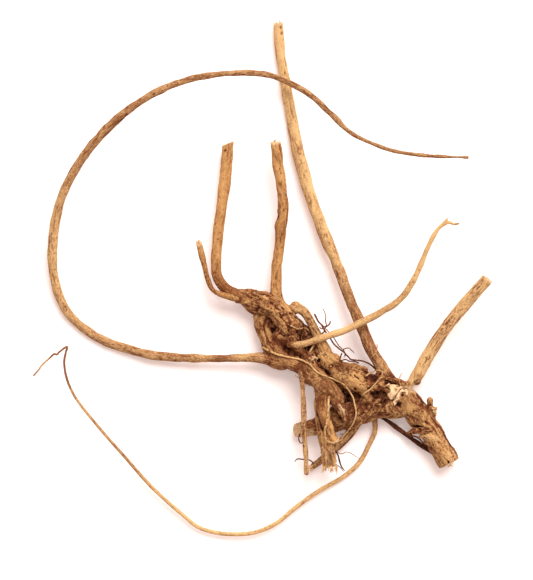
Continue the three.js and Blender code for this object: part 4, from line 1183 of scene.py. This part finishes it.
# Flat cut faces: a point, the way it faces, reach, how far the plane is pushed in, how pale.
cutFaces = [
    ((27.8, -25.6, 5.4), (0.47, -0.88, 0.02), 6.0, 0.1, 0.9),
    ((-32.6, -12.2, 5.5), (-0.65, -0.1, 0.75), 4.6, 0, 1),
    ((-31, -12.9, 7), (-0.22, -0.7, 0.68), 5, 0.05, 0.9),
]
faceDetail = {
    "edge": 0.45, "ringGap": 1.1, "ripple": 2, "rings": 0.35, "rays": 9, "rayLength": 9, "rayWidth": 0.08,
    "rayDepth": 0.12, "dark": 0.75,
}
# How the marks are laid on. Facing and high say which way and how high a point of the upper side has to face
# and lie, wobble (sizes, weights, seeds) and drift keep outlines uneven, and melt says over how wide a
# stretch a point is called sunken; sunken points and folds are darkened as painted shade.
crownLook = {
    "facing": (0.0, 0.45), "high": (4, 7), "wobble": [(2.6, 0.5, 41), (1.2, 0.3, 43)], "shadeDrift": 1.2,
    "slitShade": 0.8, "edgeDrift": 0.8, "edgeDepth": 0.25, "edgeShade": 0.6, "scarDrift": 0.12,
    "scarDark": 0.6, "paleDrift": 1.6, "paleFade": 1.4, "paleEdge": (0.25, 0.6), "mottleSize": 5,
    "patch": [2.6, 1, 1], "finePatch": [1.5, 0.6, 0.6], "foldMelt": 4, "foldShade": 2.2, "hollowMelt": 30,
    "hollowShade": 0.5, "hollowRange": (-0.35, 0.6), "paintedHollowShade": (0.1, 0.65), "paintedShadeOnPale": 0.5,
}


# Knobs with sharp folds between them, at four sizes.
def gnarlNoise(points):
    seed = crown["gnarlSeed"]
    warp = [layeredNoise(points / crown["warpSize"], 2, seed + 20 + axis) for axis in range(3)]
    points = points + crown["gnarlWarp"] * np.column_stack(warp)
    total = 0
    for layer in range(crown["gnarlLayers"]):
        size = crown["gnarlSize"] * crown["gnarlShrink"] ** layer
        knobs = np.abs(cellNoise(points / size, seed + layer))
        total = total + crown["gnarlFade"] ** layer * (crown["knob"] * knobs - crown["knobLow"])
    return total


# Flattens the cut faces and returns how much each point lies on one, and its ring and ray pattern.
def pressFaces(points):
    detail = faceDetail
    onFace = np.zeros(len(points))
    paleFace = np.zeros(len(points))
    pattern = np.zeros(len(points))
    for spot, way, reach, push, howPale in cutFaces:
        way = unit(np.array(way))
        away = points - np.array(spot) + way * push
        depth = away @ way
        flat = away - depth[:, None] * way
        spread = np.linalg.norm(flat, axis=1)
        near = (spread < reach) & (np.abs(depth) < reach)
        points[near] -= way * np.maximum(depth[near], 0)[:, None]
        face = near * smoothStep(depth, -detail["edge"], 0)
        first = unit(np.cross(way, [0.3, 0.2, 1.0]))
        angle = np.arctan2(flat @ np.cross(way, first), flat @ first)
        around = detail["ripple"] * np.column_stack([np.cos(angle), np.sin(angle)])
        ripple = cellNoise(np.column_stack([spread / detail["ripple"], around]), 5)
        rings = 0.5 + 0.5 * np.cos(2 * math.pi * (spread / detail["ringGap"] + ripple))
        around = np.column_stack([angle * detail["rays"] / 6, spread / detail["rayLength"], angle * 0])
        rays = np.exp(-(cellNoise(around, 8) / detail["rayWidth"]) ** 2)
        better = face > onFace
        pattern[better] = (detail["rings"] * rings + (1 - detail["rings"]) * rays)[better]
        onFace = np.maximum(onFace, face)
        paleFace = np.maximum(paleFace, howPale * face)
    return onFace, paleFace, pattern


crownPoints = meltPoints(crownPoints, crown["melt"])
onFace, paleFace, facePattern = pressFaces(crownPoints)
normals = pointNormals(crownPoints)
relief, crownPlace = crownRelief(crownPoints)
spots = crownPoints[:, :2]
upper = smoothStep(normals[:, 2], *crownLook["facing"]) * smoothStep(crownPoints[:, 2], *crownLook["high"])
wobble = np.column_stack([
    sum(weight * cellNoise(crownPoints / size, seed + axis) for size, weight, seed in crownLook["wobble"])
    for axis in range(2)
])


# How near each point of the crown is to a spot seen from above, 1 at its middle.
def spotShare(x, y, spread, drift, fade=1.0):
    return np.exp(-fade * (((spots + drift * wobble - (x, y)) / spread) ** 2).sum(1))


# The same for a line, which narrows at both ends.
def lineShare(line, width, drift):
    start, end = np.array(line).reshape(2, 2)
    way = end - start
    away = spots + drift * wobble - start
    share = np.clip(away @ way / (way @ way), 0, 1)
    narrow = 0.35 + 0.65 * np.sqrt(1 - (2 * share - 1) ** 2)
    return np.exp(-(np.linalg.norm(away - share[:, None] * way, axis=1) / narrow / width) ** 2)


tone = relief["tone"]
gnarlShare = relief["gnarl"]
# Spots of tone: the wood's own patches, and painted shade where they darken hollows and the V trunk's lower
# side.
for x, y, spread, change, gnarlChange in shades:
    share = upper * spotShare(x, y, spread, crownLook["shadeDrift"])
    tone = tone + change * share
    gnarlShare = gnarlShare + gnarlChange * share
height = relief["height"] + gnarlShare * gnarlNoise(crownPoints)
crease = relief["crease"]
# Dents, hollows and slits are pressed in and darkened through the crease field: painted shade.
for marks, fade, dark, low, high in ((dents, 1.6, 0.3, 0.3, 0.95), (hollows, 1.2, 0.4, 0.25, 0.8)):
    for x, y, spread, depth in marks:
        share = upper * spotShare(x, y, spread, spread, fade)
        height = height - depth * share
        crease = crease + dark * (depth > 0) * smoothStep(share, low, high)
for *line, width, depth in slits:
    share = upper * lineShare(line, width, 1.0)
    height = height - depth * share
    crease = crease + crownLook["slitShade"] * share
# The dark line down the stump's right side is painted shade.
for *line, width in shadedEdges:
    share = lineShare(line, width, crownLook["edgeDrift"])
    height = height - crownLook["edgeDepth"] * share
    crease = crease + crownLook["edgeShade"] * share
for x, y, spread, width, rise in ringScars:
    away = np.linalg.norm((spots + crownLook["scarDrift"] * wobble - (x, y)) / [1, 0.85], axis=1)
    share = upper * np.exp(-((away - spread) / width) ** 2)
    height = height + rise * share
    crease = crease + crownLook["scarDark"] * share
pale = paleFace.copy()
for x, y, spread, strength in paleSpots:
    share = spotShare(x, y, spread, crownLook["paleDrift"], crownLook["paleFade"])
    pale = np.maximum(pale, strength * upper * smoothStep(share, *crownLook["paleEdge"]))
height = height * (1 - onFace) - faceDetail["rayDepth"] * onFace * facePattern
crownPoints = crownPoints + normals * height[:, None]
fold, hollowness = (
    ((meltPoints(crownPoints, crownLook[rounds]) - crownPoints) * normals).sum(1)
    for rounds in ("foldMelt", "hollowMelt")
)
# Painted shade: sunken parts of the crown are darkened through the crease field, less so where the wood is
# pale.
paintedHollowShade = smoothStep(hollowness, *crownLook["paintedHollowShade"]) * (1 - crownLook["paintedShadeOnPale"] * pale)
mottle = layeredNoise(crownPoints / crownLook["mottleSize"], 4, 99)
patches = cellNoise(crownPlace / crownLook["patch"], 120)
patches += 0.6 * cellNoise(crownPlace / crownLook["finePatch"], 121)
# Mottle and patches are the wood's own tone; the darkening in folds and, below, in hollows is painted shade.
tone = tone + relief["blotch"] * mottle + relief["mottle"] * patches - crownLook["foldShade"] * fold
tone -= crownLook["hollowShade"] * np.clip(hollowness, *crownLook["hollowRange"])
crease = np.clip(crease * (1 - pale) + paintedHollowShade + faceDetail["dark"] * onFace * facePattern, 0, 1)
fields = {
    "crease": crease, "pit": relief["pit"] * (1 - pale), "pale": pale, "grain": relief["grain"],
    "tone": tone,
}
fields = {"barkPlace": crownPlace, **{key: values[:, None] for key, values in fields.items()}}
crownPiece = finishPiece(meshPiece("crownWood", crownPoints, crownFaces, fields, crownBark))
print("crown made:", len(crownPoints), "points")


# What thin rootlets lie on: the crown and the roots under them.
def surfaceOf(pieces):
    points = []
    faces = []
    for piece in pieces:
        first = len(points)
        points += [tuple(vertex.co / mm) for vertex in piece.data.vertices]
        faces += [[first + corner for corner in face.vertices] for face in piece.data.polygons]
    return BVHTree.FromPolygons(points, faces)


overCurl = ("curlyRoot", "curlyForkLeft", "curlyForkRight", "brokenTwig")
ground = surfaceOf([crownPiece] + [piece for piece in longRoots if piece.name not in overCurl])
# A thread's rest and sink are in radii: how high it lies on the wood and how deep its ends go in. Its taper
# is the thickness at each place along it, with another last value where the end is free.
drape = {
    "step": 0.5, "sag": 0.012, "rounds": 1200, "dropFrom": 60, "wander": 0.3, "wanderLength": 2.6,
    "rest": 0.85, "clear": 0.1, "sink": 1.6, "at": [0, 0.12, 0.8, 1], "taper": [1.25, 1, 0.9, 1.1],
    "freeTip": 0.6,
}


def dropOn(x, y):
    hit, normal, index, far = ground.ray_cast((x, y, drape["dropFrom"]), (0, 0, -1))
    if hit is None:
        return 0.0, np.array([0.0, 0.0, 1.0])
    return max(hit.z, 0.0), np.array(normal)


# A thread laid over what is below it, slack but never sinking in; its ends grow from the wood.
def drapeOver(route, radius, seed, freeEnd):
    knots = []
    for knot in route:
        x, y, height, thickness = (*knot, *(0, 1)[len(knot) - 2:])
        knots.append((x, y, height, radius * thickness))
    points, radii, along = followRoute(knots, drape["step"])
    bend = np.column_stack([along / drape["wanderLength"], along * 0, along * 0])
    inside = np.minimum(1, np.minimum(along, along[-1] - along) / 2)
    for axis in range(2):
        points[:, axis] += drape["wander"] * inside * layeredNoise(bend, 2, seed + axis)
    over = drape["rest"] * radius + drape["clear"]
    low = np.array([max(dropOn(x, y)[0] + over, z) for x, y, z in points])
    height = np.full(len(low), low.max())
    height[0] = low[0] - drape["sink"] * radius
    height[-1] = low[-1] - (0 if freeEnd else drape["sink"] * radius)
    for turn in range(drape["rounds"]):
        height[1:-1] = np.maximum(low[1:-1], 0.5 * (height[:-2] + height[2:]) - drape["sag"])
    taper = [*drape["taper"][:-1], drape["freeTip"]] if freeEnd else drape["taper"]
    radii = radii * np.interp(along / along[-1], drape["at"], taper)
    path = np.column_stack([points[:, :2], height, radii])
    return np.vstack([path[:-1:2], path[-1:]])


rootletLook = {
    "tip": "point", "swell": 0, "ringStep": 0.4, "sideStep": 0.32, "lump": 0.35, "lumpLength": 2.5,
    "furrow": 0.03, "pit": 0.04, "ridge": 0.02,
}


def makeRootlets(name, rootlets, material, tone):
    bundles = []
    for number, (radius, freeEnd, route) in enumerate(rootlets):
        path = drapeOver(route, radius, 200 + 3 * number, freeEnd)
        bundles.append(rootRings(path, 40 + number, tone=tone, **rootletLook))
    return finishPiece(bundlePiece(name, bundles, material))


makeRootlets("paleRootlets", paleRootlets, rootBark, 0.86)
makeRootlets("darkRootlets", darkRootlets, darkBark, 0.55)
looseBundles = [
    rootRings(route, 80 + number, tone=tone, **rootletLook)
    for number, (tone, route) in enumerate(looseRootlets)
]
finishPiece(bundlePiece("looseRootlets", looseBundles, darkBark))
print("rootlets made:", len(paleRootlets) + len(darkRootlets) + len(looseRootlets))


# The fields of a thin piece, each the same all over.
def plainFields(place, **values):
    values = {"crease": 0, "pit": 0, "pale": 0, "tone": 0, "grain": 1, **values}
    same = np.ones(place.shape[:2])
    return {"barkPlace": place, **{key: same * value for key, value in values.items()}}


# Torn fibres: thin flat splinters standing out of a torn end. Pairs are the least and what chance adds.
splinter = {
    "rings": 9, "sides": 6, "scatter": [1, 1, 0.5], "lean": 0.35, "length": (0.5, 0.7), "width": (0.6, 0.6),
    "thickness": 0.28, "curl": (-0.1, 0.25), "wave": 0.06, "waveTurn": 5, "patternGap": (0, 50),
    "pale": (0.75, 0.25), "tone": (0.6, 0.3),
}


def drawn(rng, key):
    least, more = splinter[key]
    return least + more * rng.rand()


def splinterRings(start, way, length, width, thickness, curl, rng):
    part = np.linspace(0, 1, splinter["rings"])
    way = unit(np.array(way, float))
    lead = unit(np.cross(way, [0.2, 0.1, 1.0]))
    top = np.cross(lead, way)
    wave = splinter["wave"] * length * np.sin(part * splinter["waveTurn"] + 6 * rng.rand())
    bow = curl * length * part ** 2
    middle = np.array(start) + way * (length * part)[:, None] + top * bow[:, None] + lead * wave[:, None]
    taper = np.clip(1.15 - part, 0.06, 1) ** 0.8 * (0.55 + 0.45 * np.minimum(1, part * 4))
    angle = np.linspace(0, 2 * math.pi, splinter["sides"], endpoint=False)
    across = np.stack([width / 2 * np.cos(angle), thickness / 2 * np.sin(angle)], axis=-1)
    rings = middle[:, None] + (across @ np.stack([lead, top]))[None] * taper[:, None, None]
    space = np.zeros(rings.shape)
    space[..., 0] = (part * length)[:, None]
    space[..., 1:] = across
    space += drawn(rng, "patternGap")
    return rings, plainFields(space, pale=drawn(rng, "pale"), tone=drawn(rng, "tone"))


def makeSplinters(name, tufts, seed, material=rootBark):
    rng = np.random.RandomState(seed)
    bundles = []
    for place, way, number, spread, length, width in tufts:
        for turn in range(number):
            start = np.array((*place, 0.0)[:3]) + spread * (rng.rand(3) - 0.5) * splinter["scatter"]
            if len(place) == 2:
                start[2] = dropOn(*start[:2])[0] - 0.1
            lean = np.array(way, float) + splinter["lean"] * (rng.rand(3) - 0.5)
            bundles.append(splinterRings(
                start, lean, length * drawn(rng, "length"), width * drawn(rng, "width"),
                splinter["thickness"] * width, drawn(rng, "curl"), rng,
            ))
    return finishPiece(bundlePiece(name, bundles, material))


makeSplinters("tornFibres", splinterTufts, 12)
makeSplinters("stubFibres", stubFibres, 14, greyBark)

# Torn flakes: thin curled plates over the wood. Their base is the wood's mean height within the reach, and
# their underside is darkened as painted shade.
flakeStyle = {
    "gap": 0.27, "jitter": 0.2, "edgeGap": 0.6, "thick": 0.45, "edgeThick": 0.16, "edgeReach": 0.6,
    "ragged": 0.22, "raggedLength": 0.7, "bulge": 0.3, "rough": 0.5, "roughLength": 1.2, "reach": 0.7,
    "around": 6, "least": 0.05, "seed": 60, "patch": [1.4, 1.4, 3], "paleSwing": 2.4, "paleLess": 0.25,
    "toneSwing": 1.6, "toneLess": 0.3, "underShade": 0.5,
}


def flakeShape(outline, number):
    style = flakeStyle
    knots = np.array([*outline, outline[0]], float)
    ring = []
    for start, end in zip(knots[:-1], knots[1:]):
        count = max(1, round(np.linalg.norm((end - start)[:2]) / style["gap"]))
        ring += [start + (end - start) * turn / count for turn in range(count)]
    ring = np.array(ring)
    for axis in range(2):
        seed = style["seed"] + 2 * number + axis
        ring[:, axis] += style["ragged"] * cellNoise(ring / style["raggedLength"], seed)
    low = ring.min(0)
    high = ring.max(0)
    rows = np.mgrid[low[0]:high[0]:style["gap"], low[1]:high[1]:style["gap"]].reshape(2, -1).T
    rows += style["jitter"] * style["gap"] * np.random.RandomState(number).uniform(-1, 1, rows.shape)
    nearest = np.linalg.norm(rows[:, None] - ring[None, :, :2], axis=2).min(1)
    rows = rows[nearest > style["edgeGap"] * style["gap"]]
    spots, edges, faces = delaunay_2d_cdt(
        [Vector(spot) for spot in np.vstack([ring[:, :2], rows])], [], [list(range(len(ring)))], 1, 1e-5)[:3]
    spots = np.array(spots)
    away = np.linalg.norm(spots[:, None] - ring[None, :, :2], axis=2)
    weight = 1 / (away + 0.05) ** 2
    lift = (weight * ring[:, 2]).sum(1) / weight.sum(1)
    inside = 1 - np.exp(-away.min(1) / style["edgeReach"])
    solid = np.column_stack([spots, np.full(len(spots), 7.0 * number)])
    lift += inside * style["bulge"]
    lift += style["rough"] * layeredNoise(solid / style["roughLength"], 3, style["seed"])
    angle = np.arange(style["around"]) * 2 * math.pi / style["around"]
    turns = [(0, 0), *zip(style["reach"] * np.cos(angle), style["reach"] * np.sin(angle))]
    base = np.array([np.mean([dropOn(x + dx, y + dy)[0] for dx, dy in turns]) for x, y in spots])
    top = np.column_stack([spots, base + np.maximum(lift, style["least"])])
    thick = style["edgeThick"] + (style["thick"] - style["edgeThick"]) * inside
    bottom = top - np.column_stack([0 * thick, 0 * thick, thick])
    count = len(top)
    shell = [tuple(face) for face in faces]
    shell += [tuple(corner + count for corner in reversed(face)) for face in faces]
    sides = {}
    for face in faces:
        for a, b in zip(face, [*face[1:], face[0]]):
            if (b, a) in sides:
                del sides[b, a]
            else:
                sides[a, b] = True
    shell += [(b, a, a + count, b + count) for a, b in sides]
    # The underside gets a crease value: painted shade under the flake.
    return np.vstack([top, bottom]), shell, np.repeat([0, style["underShade"]], count)


def makeFlakes(name, flakes):
    style = flakeStyle
    points = []
    faces = []
    fields = {key: [] for key in ("crease", "pit", "pale", "tone", "grain")}
    for number, (tone, pale, outline) in enumerate(flakes):
        spots, shell, under = flakeShape(outline, number)
        first = sum(len(part) for part in points)
        points.append(spots)
        faces += [tuple(corner + first for corner in face) for face in shell]
        patches = layeredNoise(spots / style["patch"], 3, 90 + number)
        paleness = np.clip(pale - style["paleLess"] + style["paleSwing"] * patches, 0, 1) * (pale > 0)
        tones = tone - style["toneLess"] + style["toneSwing"] * patches
        for values, given in zip(fields.values(), (under, 0 * under, paleness, tones, 0 * under + 1)):
            values.append(given)
    points = np.vstack(points)
    fields = {key: np.concatenate(values)[:, None] for key, values in fields.items()}
    return finishPiece(meshPiece(name, points, faces, {**fields, "barkPlace": points}, tornWood))


makeFlakes("tornFlakes", tornFlakes)
print("flakes made:", len(tornFlakes))


# Fine hairs on the dark hollows and the neck; none grow lower than least.
fuzz = {
    "seed": 31, "radius": 0.1, "taper": [1, 0.9, 0.5], "steps": 6, "sides": 3, "scatter": 0.6, "least": 1.5,
    "root": 0.1, "rise": 0.35, "twist": 0.5, "bend": 0.5, "sag": 0.3, "lift": 0.05, "length": (0.4, 0.6),
    "tone": 0.3,
}


def makeFuzz(name, zones):
    rng = np.random.RandomState(fuzz["seed"])
    part = np.linspace(0, 1, fuzz["steps"])[:, None]
    radius = fuzz["radius"] * np.interp(part, [0, 0.6, 1], fuzz["taper"])
    bundles = []
    for x, y, spread, number, longest, tone in zones:
        for turn in range(number):
            spot = np.array([x, y]) + spread * rng.randn(2) * fuzz["scatter"]
            z, normal = dropOn(*spot)
            if z < fuzz["least"]:
                continue
            aside = rng.randn(3)
            way = unit(aside - normal * (aside @ normal) + normal * fuzz["rise"])
            turnWay = unit(np.cross(way, normal) + fuzz["twist"] * rng.randn(3))
            length = longest * (fuzz["length"][0] + fuzz["length"][1] * rng.rand())
            bend = fuzz["bend"] * turnWay - fuzz["sag"] * normal
            middle = np.append(spot, z - fuzz["root"]) + way * length * part + bend * length * part ** 2
            lowest = [dropOn(px, py)[0] - fuzz["lift"] for px, py in middle[:, :2]]
            middle[:, 2] = np.maximum(middle[:, 2], lowest)
            forward, over, side = carriedFrames(middle)
            rings = middle[:, None] + radius[..., None] * ringWays(over, side, fuzz["sides"])[0]
            bundles.append((rings, plainFields(rings, tone=tone + fuzz["tone"] * (rng.rand() - 0.5))))
    print("hairs made:", len(bundles))
    return finishPiece(bundlePiece(name, bundles, darkBark))


makeFuzz("crownFuzz", fuzzZones)

# Floor, light and camera.
view = {
    "centre": (-45.4, 44, 6), "frameHeight": 232, "distance": 1200, "sensor": 36, "floorReach": 3.0,
    "nearest": 0.05, "farthest": 20,
}
studio = {
    "ambient": 0.6, "sky": (1, 0.8, 0.72, 1), "paper": (0.95, 0.88, 0.875, 1), "glow": (1, 0.94, 0.92, 1),
    "glowStrength": 0.2,
}
# Suns: name, where the light comes from, power and softness in degrees.
suns = [("keySun", (0.34, 0.85, 1.0), 3.7, 42), ("fillSun", (-0.5, 0.3, 1.3), 0.3, 70)]
reach = view["floorReach"]
floorMesh = bpy.data.meshes.new("floor")
floorMesh.from_pydata([(-reach, -reach, 0), (reach, -reach, 0), (reach, reach, 0), (-reach, reach, 0)], [],
                      [(0, 1, 2, 3)])
paper = {
    "Base Color": studio["paper"], "Roughness": 1.0, "Specular IOR Level": 0.0,
    "Emission Color": studio["glow"], "Emission Strength": studio["glowStrength"],
}
floorMesh.materials.append(newMaterial("paper", paper)[0])
floor = addObject("floor", floorMesh)
floor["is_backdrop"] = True

world = bpy.data.worlds.new("studio")
bpy.context.scene.world = world
world.use_nodes = True
worldTree = world.node_tree
seen = addNode(worldTree, "ShaderNodeLightPath").outputs["Is Camera Ray"]
strength = addNode(worldTree, "ShaderNodeMapRange", {
    "Value": seen, "To Min": studio["ambient"], "To Max": 1.0,
}).outputs["Result"]
sky = mixColours(worldTree, seen, studio["sky"], (1, 1, 1, 1))
worldTree.links.new(sky, worldTree.nodes["Background"].inputs["Color"])
worldTree.links.new(strength, worldTree.nodes["Background"].inputs["Strength"])

for name, comesFrom, power, softness in suns:
    light = bpy.data.lights.new(name, "SUN")
    light.energy = power
    light.angle = math.radians(softness)
    lamp = addObject(name, light)
    lamp.rotation_mode = "QUATERNION"
    lamp.rotation_quaternion = Vector(comesFrom).to_track_quat("Z", "Y")

camera = addObject("camera", bpy.data.cameras.new("camera"))
camera.location = (Vector(view["centre"]) + Vector((0, 0, view["distance"]))) * mm
camera.data.sensor_width = view["sensor"]
camera.data.lens = view["sensor"] * view["distance"] / view["frameHeight"]
camera.data.clip_start = view["nearest"]
camera.data.clip_end = view["farthest"]
bpy.context.scene.camera = camera
bpy.context.scene.view_settings.view_transform = "Standard"
print("stage made")

low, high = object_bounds()
